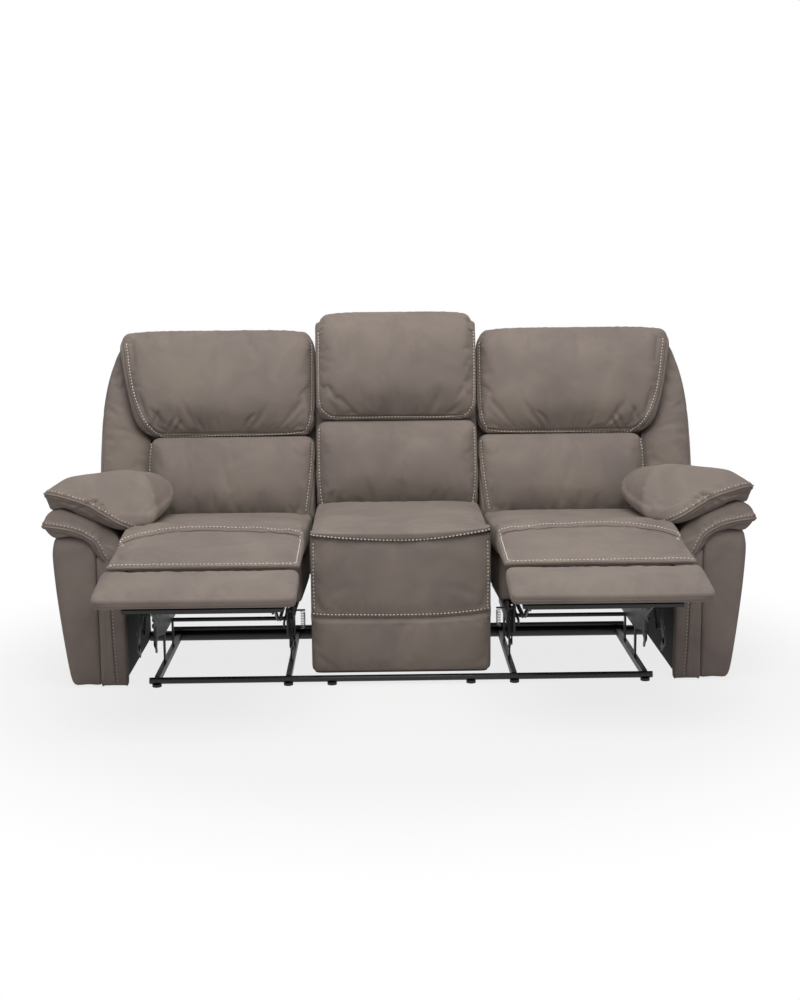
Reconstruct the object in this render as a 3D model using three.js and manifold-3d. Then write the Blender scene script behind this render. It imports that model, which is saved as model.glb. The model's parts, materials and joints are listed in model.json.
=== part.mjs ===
// Three-seat reclining sofa: two end seats that recline, with their footrests out, and a fixed middle seat.
// Millimetres. X runs along the sofa, Y from the footrests to the backs, Z up from the floor.
// While the pieces are built, Y is zero at the front base tube; the last lines centre the sofa on its box.

import * as THREE from 'three';
import { mergeVertices } from 'three/addons/utils/BufferGeometryUtils.js';
import Module from 'manifold-3d';

const wasm = await Module();
wasm.setup();

// Clearances
const seatGap = 0.3; // between two pieces that rest on each other
const pinClearance = 0.4; // radial, between a pin and its hole
const cutOverrun = 6; // how far a cutter passes through what it cuts
const pinOverhang = 3; // how far a tilt pin stands out of the plate that it runs in
const linkPinOverhang = 1; // the same on the links' pins
const tubeClear = 6; // between the middle seat and the frame tubes or pads beside it
const weldDistance = 1e-4; // corners closer than this are one corner
const holeSides = 12;

// Widths that the others follow, from the middle of the sofa
const centreHalfWidth = 271; // of the middle seat
const baseHalfWidth = 767; // of the front tube

// Base
const tubeEndRun = 22; // the front tube runs on past the outer rails
const frontTubeRadius = 10;
const glideRadius = 14.5;
const glideHeight = 8;
const glidePlaces = { outer: baseHalfWidth - tubeEndRun, inner: centreHalfWidth + 74, centre: 212 };
const rearTubeRadius = 17;
const rearTubeY = 545;
const rearUpperTubeRadius = 8;
const rearUpperTubeRise = 24; // above the middle of the lower rear tube, welded to it
const railWidth = 16;
const railHeight = 20;

// Side plates, which stand on the floor rails
const plateThickness = 6;
const plateTop = 214;
const plateBottom = 118;
const plateFrontY = 8;
const plateRearY = 560;
const plateRearDrop = 34;
const legWidth = 16;
const legPlaces = { front: 176, rear: 372 };
const braceRadius = 7;
const braceZ = 114;
const tiltPin = { y: 30, z: 225, radius: 7 };
const tiltBossRadius = 17;

// Seat module, as it stands with its footrest in
const tiltAtRest = 5; // degrees that an open seat leans back
const plateInset = 20; // from a seat rail to the side plate beside it
const moduleInner = glidePlaces.inner - plateInset; // middle of the inner seat rail
const moduleOuter = glidePlaces.outer + plateInset; // middle of the outer seat rail
const seatRailThickness = 6;
const seatRailTop = 247.7;
const seatRailHeight = 34;
const crossTubeRadius = 10;
const crossTubeYs = [196, 560];
const seatInnerX = centreHalfWidth + 32;
const seatOuterX = 829;
const seatBoxFront = 24;
const boxToBack = 7.8; // from the seat box to the foot of the back frame behind it
const seatBoxHeight = 143;
const cushionHeight = 88;
const cushionRearY = 512;
const cushionForm = { round: 15, crown: { top: 14, left: 4, right: 4 } };
const lipForm = { round: 10, crown: { top: 5 } };
const lipDepth = 176;
const lipFront = -45;
const lipBottom = 471;
const lipTop = 492;

// Footrest linkage, in the side view (y, z)
const rearLinkPivot = { y: 107.3, z: 225.1 };
const rearLinkLength = 207.3;
const rearLinkAngle = 177.54;
const frontLinkLength = 223.9;
const frontLinkAngle = 154.31;
const linkHalfWidth = 9;
const linkThickness = 5;
const linkPinRadius = 4;
const linkLayerGap = 2.5; // between two links on one pin
const rearLinkInset = 34; // from a seat rail to the rear link beside it
const torqueTubeRadius = 8;
const stabiliserRadius = 6;
const stabiliserShare = 0.45;

// Footrest and chaise pads
const footrestSlope = 11;
const footrestLength = 176;
const footrestThickness = 58;
const footrestInnerX = seatInnerX - 6;
const footrestOuterX = 826;
const footrestPivot = { along: 10, down: 106 }; // in front of and below the pad's rear upper edge
const footrestBoardThickness = 10;
const footrestForm = { round: 16, crown: { top: 7, front: 8, left: 4, right: 4 } };
const bracketFootShare = 0.6; // how far along the pad the footrest brackets reach
const footrestBoardMargin = 14;
const chaiseHinge = { y: -39, z: 459, radius: 4, roll: 8.5 }; // roll: the padded edge round the pins
const chaiseRearY = -28;
const chaiseToFootrest = 34;
const chaiseTop = 457;
const chaiseThickness = 45;
const chaiseForm = { round: 9, crown: { top: 3, left: 3, right: 3 } };
const chaiseInnerX = seatInnerX;
const chaiseOuterX = 824;
const earThickness = 3;
const earHalfWidth = 9;

// Middle seat
const centreBoxInset = 5;
const centreBoxFront = 11;
const centreBoxEnd = 600;
const centreSeatTop = 478;
const frontPadBottom = 45;
const frontPadTop = 466;
const frontPadDepth = 40;
const frontPadSeam = 222;
const frontPadSeamDepth = 11;
const frontPadForm = { round: 14, crown: { front: 8 } };
const centreCushionForm = { round: 15, crown: { top: 12, left: 4, right: 4 } };

// Backs, before they lean
const backLean = 12;
const lumbarFront = 560;
const lumbarBottom = 436;
const padSplit = 735; // where headrest and lumbar pads meet
const padGap = 2;
const lumbarForm = { round: 34, crown: { front: 26, left: 4, right: 4 } };
const headrestForm = { round: 48, crown: { front: 24, left: 3, right: 3, top: 8 } };
const wingForm = { round: 24, crown: { front: 12 } };
const padBackY = 688; // flat back of the pads at the height of their split
const headrestFront = 566;
const centreBackTop = 1098;
const sideBackTop = 1100;
const backFrameThickness = 74;
const backFrameBottom = 262;
const backFrameTop = 1032;
const backFrameInset = 9; // the frame stands in from the pads' edges
const backFrameFront = padBackY + seatGap;
const sidePadInner = centreHalfWidth + 7;
const lumbarOuterX = 838;
const headrestOuterTop = 955;
const headrestOuterBottom = 850;
const wingInnerX = 842;
const wingOuterX = 1014;
const wingFront = 640;
const wingBottom = 430;
const wingTop = 1030;
const wingGap = 4; // beside the headrest pad
const wingRoundShare = 0.8;
const backHinge = { y: 612, z: 231, radius: 6 };
const backLugThickness = 6;
const backLugReach = 22;

// Arms
const armFrontY = -18;
const armRearY = 565;
const armToTube = 78; // the arms stand clear of the tubes' ends
const armRollReach = 224; // outwards from the arm's inner face
const armPillowReach = 213;
const armPillowInward = 135; // over the seat
const armInner = baseHalfWidth + armToTube;
const armFrameWidth = 64;
const armPanelWidth = 131; // at its widest
const armPanelGap = 2; // the seam between the panel and the facing
const coverProud = 9; // the facing and the roll reach past the frame, towards the seat
const armFrame = { inner: armInner, outer: armInner + armFrameWidth, bottom: 8, top: 452, front: 26 };
const armFacing = { inner: armInner - coverProud, outer: armFrame.outer, depth: 43 };
const panelInner = armFrame.outer + armPanelGap;
const armPanel = { inner: panelInner, outer: panelInner + armPanelWidth, bottom: 6, top: 468 };
const armRoll = { inner: armInner - coverProud, outer: armInner + armRollReach, bottom: 388, top: 560 };
const armPillow = {
  inner: armInner - armPillowInward, outer: armInner + armPillowReach,
  bottom: 498, top: 660, rear: 506,
};
const rollOverhang = 4; // the roll and the pillow stand out in front of the arm
const pillowBulge = 10; // towards the seat, half way along
const pillowFall = 0.38; // share of the pillow's height lost at its rear

// Release lever on the outer face of each arm
const leverPivot = { y: 330, z: 300, radius: 9 };
const leverLength = 150;
const leverWidth = 30;
const leverThickness = 10;
const leverShaft = 50;
const leverStandoff = 6; // from the padded panel's widest place to the middle of the paddle

// Tension spring beside each inner seat rail
const springX = seatInnerX - 4;
const springY = 50;
const springTop = 220;
const springCurls = 10;
const springRadius = 6.5;
const springWire = 1.3;
const springPitch = 5;
const springSteps = 8;
const springSides = 5;
const springHookRadius = 3;

const leverPaddleX = armPanel.outer + leverStandoff;

const colours = {
  cover: { color: 0x8a8078, roughness: 0.85, metalness: 0 },
  lining: { color: 0x16151a, roughness: 0.9, metalness: 0 },
  steel: { color: 0x17171b, roughness: 0.45, metalness: 0.4 },
  plastic: { color: 0x121214, roughness: 0.6, metalness: 0 },
  zinc: { color: 0xc4c8cc, roughness: 0.3, metalness: 0.9 },
};

const radians = THREE.MathUtils.degToRad;

// Solids and booleans

function solidOf(geometry) {
  const bare = geometry.clone();
  bare.deleteAttribute('normal');
  bare.deleteAttribute('uv');
  const merged = mergeVertices(bare, weldDistance);
  return new wasm.Manifold(new wasm.Mesh({
    numProp: 3,
    vertProperties: new Float32Array(merged.attributes.position.array),
    triVerts: new Uint32Array(merged.index.array),
  }));
}

function geometryOf(solid) {
  const mesh = solid.getMesh();
  const geometry = new THREE.BufferGeometry();
  geometry.setAttribute('position', new THREE.BufferAttribute(mesh.vertProperties, 3));
  geometry.setIndex(new THREE.BufferAttribute(mesh.triVerts, 1));
  return geometry;
}

function join(...geometries) {
  return geometryOf(geometries.map(solidOf).reduce((whole, piece) => whole.add(piece)));
}

function cut(geometry, ...cutters) {
  return geometryOf(cutters.map(solidOf).reduce((left, cutter) => left.subtract(cutter), solidOf(geometry)));
}

function moved(geometry, x, y, z) {
  return geometry.clone().translate(x, y, z);
}

function mirrored(geometry) {
  const copy = geometry.index ? geometry.toNonIndexed() : geometry.clone();
  const place = copy.attributes.position;
  for (let first = 0; first < place.count; first += 3) {
    const points = [0, 1, 2].map((step) => new THREE.Vector3().fromBufferAttribute(place, first + step));
    [points[0], points[2], points[1]].forEach((point, step) => {
      place.setXYZ(first + step, -point.x, point.y, point.z);
    });
  }
  copy.deleteAttribute('normal');
  copy.deleteAttribute('uv');
  return mergeVertices(copy, weldDistance);
}

// Rods, boxes and plates

function rodAlongX(xStart, xEnd, y, z, radius, sides = 16) {
  const rod = new THREE.CylinderGeometry(radius, radius, xEnd - xStart, sides);
  rod.rotateZ(Math.PI / 2);
  return rod.translate((xStart + xEnd) / 2, y, z);
}

function box(low, high) {
  const sizes = high.map((value, axis) => value - low[axis]);
  const middles = high.map((value, axis) => (value + low[axis]) / 2);
  return new THREE.BoxGeometry(...sizes).translate(...middles);
}

function shapeOf(points) {
  const outline = points.map(([across, up]) => new THREE.Vector2(across, up));
  return new THREE.Shape(THREE.ShapeUtils.isClockWise(outline) ? outline.reverse() : outline);
}

// A flat plate whose outline is drawn in the side view (y, z), centred on x.
function sidePlate(shape, x, thickness) {
  const plate = new THREE.ExtrudeGeometry(shape, { depth: thickness, bevelEnabled: false, curveSegments: 5 });
  const turn = new THREE.Matrix4().makeBasis(
    new THREE.Vector3(0, 1, 0), new THREE.Vector3(0, 0, 1), new THREE.Vector3(1, 0, 0),
  );
  return plate.applyMatrix4(turn).translate(x - thickness / 2, 0, 0);
}

// A straight bar with round ends, from one pivot to the other.
function barShape(from, to, halfWidth) {
  const angle = Math.atan2(to.z - from.z, to.y - from.y);
  const shape = new THREE.Shape();
  shape.absarc(to.y, to.z, halfWidth, angle - Math.PI / 2, angle + Math.PI / 2, false);
  shape.absarc(from.y, from.z, halfWidth, angle + Math.PI / 2, angle + 1.5 * Math.PI, false);
  return shape;
}

function drill(shape, place, radius) {
  const corners = Array.from({ length: holeSides }, (_, corner) => {
    const angle = -2 * Math.PI * corner / holeSides;
    return new THREE.Vector2(place.y + radius * Math.cos(angle), place.z + radius * Math.sin(angle));
  });
  shape.holes.push(new THREE.Path(corners));
  return shape;
}

// A front view outline (x, z) pushed back along Y from yStart to yEnd.
function frontPlate(points, yStart, yEnd) {
  const plate = new THREE.ExtrudeGeometry(shapeOf(points), { depth: yEnd - yStart, bevelEnabled: false });
  return plate.rotateX(Math.PI / 2).translate(0, yEnd, 0);
}

// Soft forms

function spread(share) {
  return Math.sin(share * Math.PI / 2);
}

// A padded block inside the limits low to high. Each face is full in its middle and drawn in by its crown
// towards the edges; warp moves the finished points.
function softBlock({ low, high, steps, round, crown = {}, warp }) {
  const half = new THREE.Vector3(...high.map((value, axis) => (value - low[axis]) / 2));
  const middle = new THREE.Vector3(...high.map((value, axis) => (value + low[axis]) / 2));
  const inner = half.clone().subScalar(round).max(new THREE.Vector3());
  const drawn = { left: 0, right: 0, front: 0, back: 0, bottom: 0, top: 0, ...crown };
  const raw = new THREE.BoxGeometry(2, 2, 2, ...steps);
  raw.deleteAttribute('normal');
  raw.deleteAttribute('uv');
  const geometry = mergeVertices(raw, weldDistance);
  const place = geometry.attributes.position;
  for (let index = 0; index < place.count; index += 1) {
    const share = new THREE.Vector3().fromBufferAttribute(place, index);
    share.set(spread(share.x), spread(share.y), spread(share.z));
    const point = share.clone().multiply(half);
    const core = point.clone().clamp(inner.clone().negate(), inner);
    const rim = point.clone().sub(core);
    point.copy(core).add(rim.setLength(Math.min(round, half.x, half.y, half.z)));
    const fullness = {
      x: (1 - share.y ** 2) * (1 - share.z ** 2),
      y: (1 - share.x ** 2) * (1 - share.z ** 2),
      z: (1 - share.x ** 2) * (1 - share.y ** 2),
    };
    point.x += pull(share.x, fullness.x, drawn.left, drawn.right);
    point.y += pull(share.y, fullness.y, drawn.front, drawn.back);
    point.z += pull(share.z, fullness.z, drawn.bottom, drawn.top);
    point.add(middle);
    if (warp) warp(point);
    place.setXYZ(index, point.x, point.y, point.z);
  }
  return geometry;
}

function pull(share, fullness, lowCrown, highCrown) {
  const crown = share < 0 ? lowCrown : -highCrown;
  return crown * (1 - fullness) * share ** 2;
}

// A padded length with one closed outline in the front view, run along Y and drawn in at its ends.
// The outline is given as shares of the limits. A station gives a place along Y, a size, a sideways
// move and the share of the height that is lost there.
function softRun({ limits, outlineShares, points, stations }) {
  const width = limits.outer - limits.inner;
  const height = limits.top - limits.bottom;
  const curve = new THREE.CatmullRomCurve3(outlineShares.map(([across, up]) => (
    new THREE.Vector3(limits.inner + across * width, 0, limits.bottom + up * height))), true);
  const ring = curve.getPoints(points).slice(0, points);
  const middle = ring.reduce((sum, point) => sum.add(point), new THREE.Vector3()).divideScalar(points);
  const vertices = [];
  stations.forEach(({ at, size, move, flatten }) => {
    ring.forEach((point) => {
      const x = middle.x + (point.x - middle.x) * size + move;
      const z = middle.z + (point.z - middle.z) * size;
      vertices.push(x, at, limits.bottom + (z - limits.bottom) * (1 - flatten));
    });
  });
  const index = [];
  for (let row = 0; row + 1 < stations.length; row += 1) {
    for (let step = 0; step < points; step += 1) {
      const next = (step + 1) % points;
      const [a, b] = [row * points + step, row * points + next];
      const [c, d] = [a + points, b + points];
      index.push(a, b, c, b, d, c);
    }
  }
  const flat = ring.map((point) => new THREE.Vector2(point.x, point.z));
  const last = (stations.length - 1) * points;
  THREE.ShapeUtils.triangulateShape(flat, []).forEach(([a, b, c]) => {
    index.push(a, c, b, last + a, last + b, last + c);
  });
  const geometry = new THREE.BufferGeometry();
  geometry.setAttribute('position', new THREE.Float32BufferAttribute(vertices, 3));
  geometry.setIndex(index);
  return facingOut(geometry);
}

function facingOut(geometry) {
  const place = geometry.attributes.position;
  const corner = (number) => new THREE.Vector3().fromBufferAttribute(place, geometry.index.getX(number));
  let volume = 0;
  for (let first = 0; first < geometry.index.count; first += 3) {
    volume += corner(first).dot(corner(first + 1).cross(corner(first + 2)));
  }
  if (volume < 0) {
    const turned = Array.from(geometry.index.array);
    for (let first = 0; first < turned.length; first += 3) {
      [turned[first + 1], turned[first + 2]] = [turned[first + 2], turned[first + 1]];
    }
    geometry.setIndex(turned);
  }
  return geometry;
}

function leanBack(point) {
  point.y += (point.z - padSplit) * Math.tan(radians(backLean));
}

// The sofa and its groups

const sofa = new THREE.Group();

function addPiece(group, name, geometry, finish) {
  const mesh = new THREE.Mesh(geometry, new THREE.MeshStandardMaterial(colours[finish]));
  mesh.name = name;
  group.add(mesh);
}

// Both sides are built as the +X side; the left one is its mirror image.
function addPair(groups, name, geometry, finish) {
  addPiece(groups.right, `right_${name}`, geometry, finish);
  addPiece(groups.left, `left_${name}`, mirrored(geometry), finish);
}

function groupPair(parents, y, z, angle) {
  const make = (parent) => {
    const group = new THREE.Group();
    group.position.set(0, y, z);
    group.rotation.x = radians(angle);
    parent.add(group);
    return group;
  };
  return { right: make(parents.right), left: make(parents.left) };
}

const world = { right: sofa, left: sofa };
const frontTubeZ = glideHeight + seatGap + frontTubeRadius;

function addBase() {
  const tube = rodAlongX(-baseHalfWidth, baseHalfWidth, 0, frontTubeZ, frontTubeRadius);
  addPiece(sofa, 'base_front_tube', tube, 'steel');
  Object.entries(glidePlaces).forEach(([place, x]) => {
    const glide = new THREE.CylinderGeometry(glideRadius, glideRadius, glideHeight, 16);
    glide.rotateX(Math.PI / 2).translate(x, 0, glideHeight / 2);
    addPair(world, `glide_${place}`, glide, 'plastic');
  });
}

const rearTubeZ = rearTubeRadius;
const rearHalfWidth = armFrame.inner - seatGap;
const outerPlateX = moduleOuter - plateInset;
const innerPlateX = moduleInner + plateInset;

function addRearFrame() {
  const lower = rodAlongX(-rearHalfWidth, rearHalfWidth, rearTubeY, rearTubeZ, rearTubeRadius, 20);
  const upperZ = rearTubeZ + rearUpperTubeRise;
  const upper = rodAlongX(-baseHalfWidth, baseHalfWidth, rearTubeY, upperZ, rearUpperTubeRadius, 12);
  addPiece(sofa, 'base_rear_frame', join(lower, upper), 'steel');
}

const railBottom = frontTubeZ - railHeight / 2;
const railTop = railBottom + railHeight;

function addRails() {
  [['outer', outerPlateX], ['inner', innerPlateX]].forEach(([place, x]) => {
    const rail = box(
      [x - railWidth / 2, frontTubeRadius + seatGap, railBottom],
      [x + railWidth / 2, rearTubeY - rearTubeRadius - seatGap, railTop],
    );
    addPair(world, `floor_rail_${place}`, rail, 'steel');
  });
}

function sidePlateShape() {
  const foot = railTop + seatGap;
  const legs = [legPlaces.rear, legPlaces.front].flatMap((y) => [
    [y + legWidth, plateBottom], [y + legWidth, foot], [y, foot], [y, plateBottom],
  ]);
  const shape = shapeOf([
    [plateFrontY, plateBottom + plateRearDrop],
    [plateFrontY, tiltPin.z],
    [tiltPin.y - tiltBossRadius / 2, tiltPin.z + tiltBossRadius],
    [tiltPin.y + tiltBossRadius / 2, tiltPin.z + tiltBossRadius],
    [tiltPin.y + tiltBossRadius, plateTop],
    [legPlaces.rear + legWidth, plateTop - plateRearDrop],
    [plateRearY, plateBottom + plateRearDrop],
    [plateRearY, plateBottom],
    ...legs,
  ]);
  return drill(shape, tiltPin, tiltPin.radius + pinClearance);
}

// A brace tube, welded to the inner plate's rear leg, runs to the outer plate.
function addSidePlates() {
  const outer = sidePlate(sidePlateShape(), outerPlateX, plateThickness);
  const inner = sidePlate(sidePlateShape(), innerPlateX, plateThickness);
  const braceEnd = outerPlateX - plateThickness / 2 - seatGap;
  const brace = rodAlongX(innerPlateX, braceEnd, legPlaces.rear + legWidth / 2, braceZ, braceRadius, 12);
  addPair(world, 'side_plate_outer', outer, 'steel');
  addPair(world, 'side_plate_inner', join(inner, brace), 'steel');
}

// Turn a point of the side view about the tilt pin from the leaning seat to the upright one.
function upright({ y, z }) {
  const angle = radians(tiltAtRest);
  const [across, up] = [y - tiltPin.y, z - tiltPin.z];
  return {
    y: tiltPin.y + across * Math.cos(angle) - up * Math.sin(angle),
    z: tiltPin.z + up * Math.cos(angle) + across * Math.sin(angle),
  };
}

// Groups that hold the leaning seats: their pieces are built upright about the tilt pin.
const lean = groupPair(world, tiltPin.y, tiltPin.z, -tiltAtRest);

function addLeaning(name, geometry, finish) {
  addPair(lean, name, moved(geometry, 0, -tiltPin.y, -tiltPin.z), finish);
}

function seatRail(x, inward) {
  const pivot = upright(rearLinkPivot);
  const bottom = seatRailTop - seatRailHeight;
  const rear = backHinge.y + backLugReach / 2;
  const shape = shapeOf([
    [plateFrontY, bottom],
    [rear - backLugReach / 2, bottom],
    [rear, bottom + backLugReach / 2],
    [rear, seatRailTop - backLugReach / 2],
    [rear - backLugReach / 2, seatRailTop],
    [plateFrontY, seatRailTop],
  ]);
  drill(shape, pivot, torqueTubeRadius + pinClearance);
  drill(shape, backHinge, backHinge.radius + pinClearance);
  const rail = sidePlate(shape, x, seatRailThickness);
  const pinEnd = x + inward * (plateInset + plateThickness / 2 + pinOverhang);
  const pin = rodAlongX(Math.min(x, pinEnd), Math.max(x, pinEnd), tiltPin.y, tiltPin.z, tiltPin.radius);
  return join(rail, pin);
}

function addSeatFrame() {
  const tubeZ = seatRailTop - seatRailHeight / 2;
  const tubes = crossTubeYs.map((y) => rodAlongX(moduleInner, moduleOuter, y, tubeZ, crossTubeRadius, 12));
  const stud = rodAlongX(
    springX - springRadius, moduleInner, springY, springTop + springHookRadius, springHookRadius, 8,
  );
  const rails = [seatRail(moduleInner, 1), seatRail(moduleOuter, -1)];
  addLeaning('seat_frame', join(...rails, ...tubes, stud), 'steel');
}

const seatBoxBottom = seatRailTop + seatGap;
const backFootY = backFrameFront - (padSplit - backFrameBottom) * Math.tan(radians(backLean));
const seatBoxRear = backFootY - boxToBack;
const seatBoxTop = seatBoxBottom + seatBoxHeight;

// The chaise pad turns on stub pins held in two thin ears at the front of the seat box.
function chaiseEar(x) {
  const hinge = upright(chaiseHinge);
  const root = { y: seatBoxFront + earHalfWidth, z: seatBoxTop - earHalfWidth };
  const shape = drill(barShape(root, hinge, earHalfWidth), hinge, chaiseHinge.radius + pinClearance);
  return sidePlate(shape, x, earThickness);
}

function addSeatBox() {
  const body = box(
    [seatInnerX - earThickness, seatBoxFront, seatBoxBottom],
    [seatOuterX, seatBoxRear, seatBoxTop],
  );
  const inner = chaiseEar(chaiseInnerX - seatGap - earThickness / 2);
  const outer = chaiseEar(chaiseOuterX + seatGap + earThickness / 2);
  addLeaning('seat_box', join(body, inner, outer), 'cover');
}

function addSeatCushion() {
  const body = softBlock({
    low: [seatInnerX, seatBoxFront + 2 * seatGap, seatBoxTop + seatGap],
    high: [seatOuterX, cushionRearY, seatBoxTop + seatGap + cushionHeight],
    steps: [6, 5, 2],
    ...cushionForm,
  });
  const lip = softBlock({
    low: [seatInnerX, lipFront, lipBottom],
    high: [seatOuterX, lipFront + lipDepth, lipTop],
    steps: [6, 3, 2],
    ...lipForm,
  });
  addLeaning('seat_cushion', join(body, lip), 'cover');
}

function polar(from, length, angle) {
  return {
    y: from.y + length * Math.cos(radians(angle)),
    z: from.z + length * Math.sin(radians(angle)),
  };
}

const kneePivot = polar(rearLinkPivot, rearLinkLength, rearLinkAngle);
const footPivot = polar(kneePivot, frontLinkLength, frontLinkAngle);

// The footrest pad's rear upper edge stands over the pivot at the front of the links.
const footrestEdge = polar(
  polar(footPivot, footrestPivot.along, footrestSlope), footrestPivot.down, footrestSlope + 90,
);
const chaiseFrontY = footrestEdge.y + chaiseToFootrest;

// Layers of the linkage: each next link lies further from its seat rail.
const rearLinkLayer = rearLinkInset;
const frontLinkLayer = rearLinkLayer + linkThickness + linkLayerGap;
const bracketLayer = frontLinkLayer + linkThickness + linkLayerGap;

function layerXs(layer) {
  return [[moduleInner + layer, -1], [moduleOuter - layer, 1]];
}

// A pin through the hole of the link outside it; outward points to that link.
function linkPin(x, outward, place) {
  const end = x + outward * (1.5 * linkThickness + linkLayerGap + linkPinOverhang);
  return rodAlongX(Math.min(x, end), Math.max(x, end), place.y, place.z, linkPinRadius, 10);
}

function addRearLinks() {
  const links = layerXs(rearLinkLayer).map(([x]) => {
    const shape = barShape(rearLinkPivot, kneePivot, linkHalfWidth);
    drill(shape, kneePivot, linkPinRadius + pinClearance);
    return sidePlate(shape, x, linkThickness);
  });
  const reach = seatRailThickness;
  const tube = rodAlongX(
    moduleInner - reach, moduleOuter + reach, rearLinkPivot.y, rearLinkPivot.z, torqueTubeRadius, 12,
  );
  addPair(world, 'rear_links', join(...links, tube), 'steel');
}

function addFrontLinks() {
  const pieces = layerXs(frontLinkLayer).flatMap(([x, outward]) => {
    const shape = barShape(kneePivot, footPivot, linkHalfWidth);
    drill(shape, footPivot, linkPinRadius + pinClearance);
    return [sidePlate(shape, x, linkThickness), linkPin(x, outward, kneePivot)];
  });
  const rod = polar(kneePivot, frontLinkLength * stabiliserShare, frontLinkAngle);
  const [start, end] = layerXs(frontLinkLayer).map(([x]) => x);
  const stabiliser = rodAlongX(start, end, rod.y, rod.z, stabiliserRadius, 10);
  addPair(world, 'front_links', join(...pieces, stabiliser), 'steel');
}

// The footrest is built level in its own group: y runs back from its rear edge, z up from its top face.
const footrest = groupPair(world, footrestEdge.y, footrestEdge.z, footrestSlope);

function addFootrest() {
  const pad = softBlock({
    low: [footrestInnerX, -footrestLength, -footrestThickness],
    high: [footrestOuterX, 0, 0],
    steps: [6, 4, 3],
    ...footrestForm,
  });
  addPair(footrest, 'footrest_pad', pad, 'cover');
  const boardTop = -footrestThickness - seatGap;
  const boardBottom = boardTop - footrestBoardThickness;
  const board = box(
    [moduleInner, footrestBoardMargin - footrestLength, boardBottom],
    [moduleOuter, -footrestBoardMargin, boardTop],
  );
  const pivot = { y: -footrestPivot.along, z: -footrestPivot.down };
  const brackets = layerXs(bracketLayer).flatMap(([x, outward]) => {
    const shape = shapeOf([
      [-footrestLength * bracketFootShare, boardBottom + seatGap],
      [pivot.y - 2 * linkHalfWidth, pivot.z],
      [pivot.y - linkHalfWidth, pivot.z - linkHalfWidth],
      [pivot.y + linkHalfWidth, pivot.z - linkHalfWidth],
      [pivot.y + linkHalfWidth, pivot.z + linkHalfWidth],
      [-footrestBoardMargin, boardBottom + seatGap],
    ]);
    return [sidePlate(shape, x, linkThickness), linkPin(x, outward, pivot)];
  });
  addPair(footrest, 'footrest_frame', join(board, ...brackets), 'steel');
}

function addChaisePad() {
  const pad = softBlock({
    low: [chaiseInnerX, chaiseFrontY, chaiseTop - chaiseThickness],
    high: [chaiseOuterX, chaiseRearY, chaiseTop],
    steps: [6, 4, 2],
    ...chaiseForm,
  });
  const roll = rodAlongX(chaiseInnerX, chaiseOuterX, chaiseHinge.y, chaiseHinge.z, chaiseHinge.roll, 12);
  const pins = rodAlongX(
    chaiseInnerX - earThickness, chaiseOuterX + earThickness,
    chaiseHinge.y, chaiseHinge.z, chaiseHinge.radius, 10,
  );
  addPair(world, 'chaise_pad', join(pad, roll, pins), 'cover');
}

// Backs

function leaned(geometry) {
  const place = geometry.attributes.position;
  const point = new THREE.Vector3();
  for (let index = 0; index < place.count; index += 1) {
    point.fromBufferAttribute(place, index);
    leanBack(point);
    place.setXYZ(index, point.x, point.y, point.z);
  }
  return geometry;
}

function lumbarPad(xLow, xHigh) {
  return softBlock({
    low: [xLow, lumbarFront, lumbarBottom],
    high: [xHigh, padBackY, padSplit - padGap],
    steps: [6, 3, 6],
    ...lumbarForm,
    warp: leanBack,
  });
}

function headrestPad(xLow, xHigh, top, warp) {
  return softBlock({
    low: [xLow, headrestFront, padSplit],
    high: [xHigh, padBackY, top],
    steps: [6, 4, 6],
    ...headrestForm,
    warp,
  });
}

// The outer edge of a side headrest slopes: wide at the top, narrow at its seam.
function headrestEdge(z) {
  const rise = THREE.MathUtils.clamp((z - padSplit) / (sideBackTop - padSplit), 0, 1);
  return headrestOuterBottom + (headrestOuterTop - headrestOuterBottom) * Math.sqrt(rise);
}

function sideHeadrestWarp(point) {
  const width = headrestOuterTop - sidePadInner;
  point.x = sidePadInner + (point.x - sidePadInner) * (headrestEdge(point.z) - sidePadInner) / width;
  leanBack(point);
}

// Height shares and width shares of the outer back's edge, from the hinge end up.
const wingEdgeShares = [[1, 0], [1, 0.6], [0.93, 0.78], [0.72, 0.91], [0.42, 0.98], [0.1, 1]];

function sideBackOutline() {
  const width = wingOuterX - wingInnerX;
  const height = backFrameTop - backFrameBottom;
  const edge = wingEdgeShares.map(([across, up]) => [
    wingInnerX + across * width - backFrameInset, backFrameBottom + up * height,
  ]);
  const inner = sidePadInner + backFrameInset;
  return [[inner, backFrameBottom], ...edge, [inner, backFrameTop]];
}

function addSideBack() {
  const slab = leaned(frontPlate(sideBackOutline(), backFrameFront, backFrameFront + backFrameThickness));
  const lugs = [[moduleInner, 1], [moduleOuter, -1]].flatMap(([x, inward]) => {
    const middle = x + inward * (seatRailThickness / 2 + backLugThickness / 2 + linkLayerGap);
    const root = { y: backHinge.y + backLugReach, z: backFrameBottom + 2 * backLugReach };
    const lug = sidePlate(barShape(backHinge, root, backLugReach / 2), middle, backLugThickness);
    const end = x - inward * seatRailThickness;
    const pin = rodAlongX(
      Math.min(middle, end), Math.max(middle, end), backHinge.y, backHinge.z, backHinge.radius, 12,
    );
    return [lug, pin];
  });
  addLeaning('back_frame', join(slab, ...lugs), 'cover');
  addLeaning('lumbar_pad', lumbarPad(sidePadInner, lumbarOuterX), 'cover');
  const sideHeadrest = headrestPad(sidePadInner, headrestOuterTop, sideBackTop, sideHeadrestWarp);
  addLeaning('headrest_pad', sideHeadrest, 'cover');
  addLeaning('back_wing', backWing(), 'cover');
}

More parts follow.
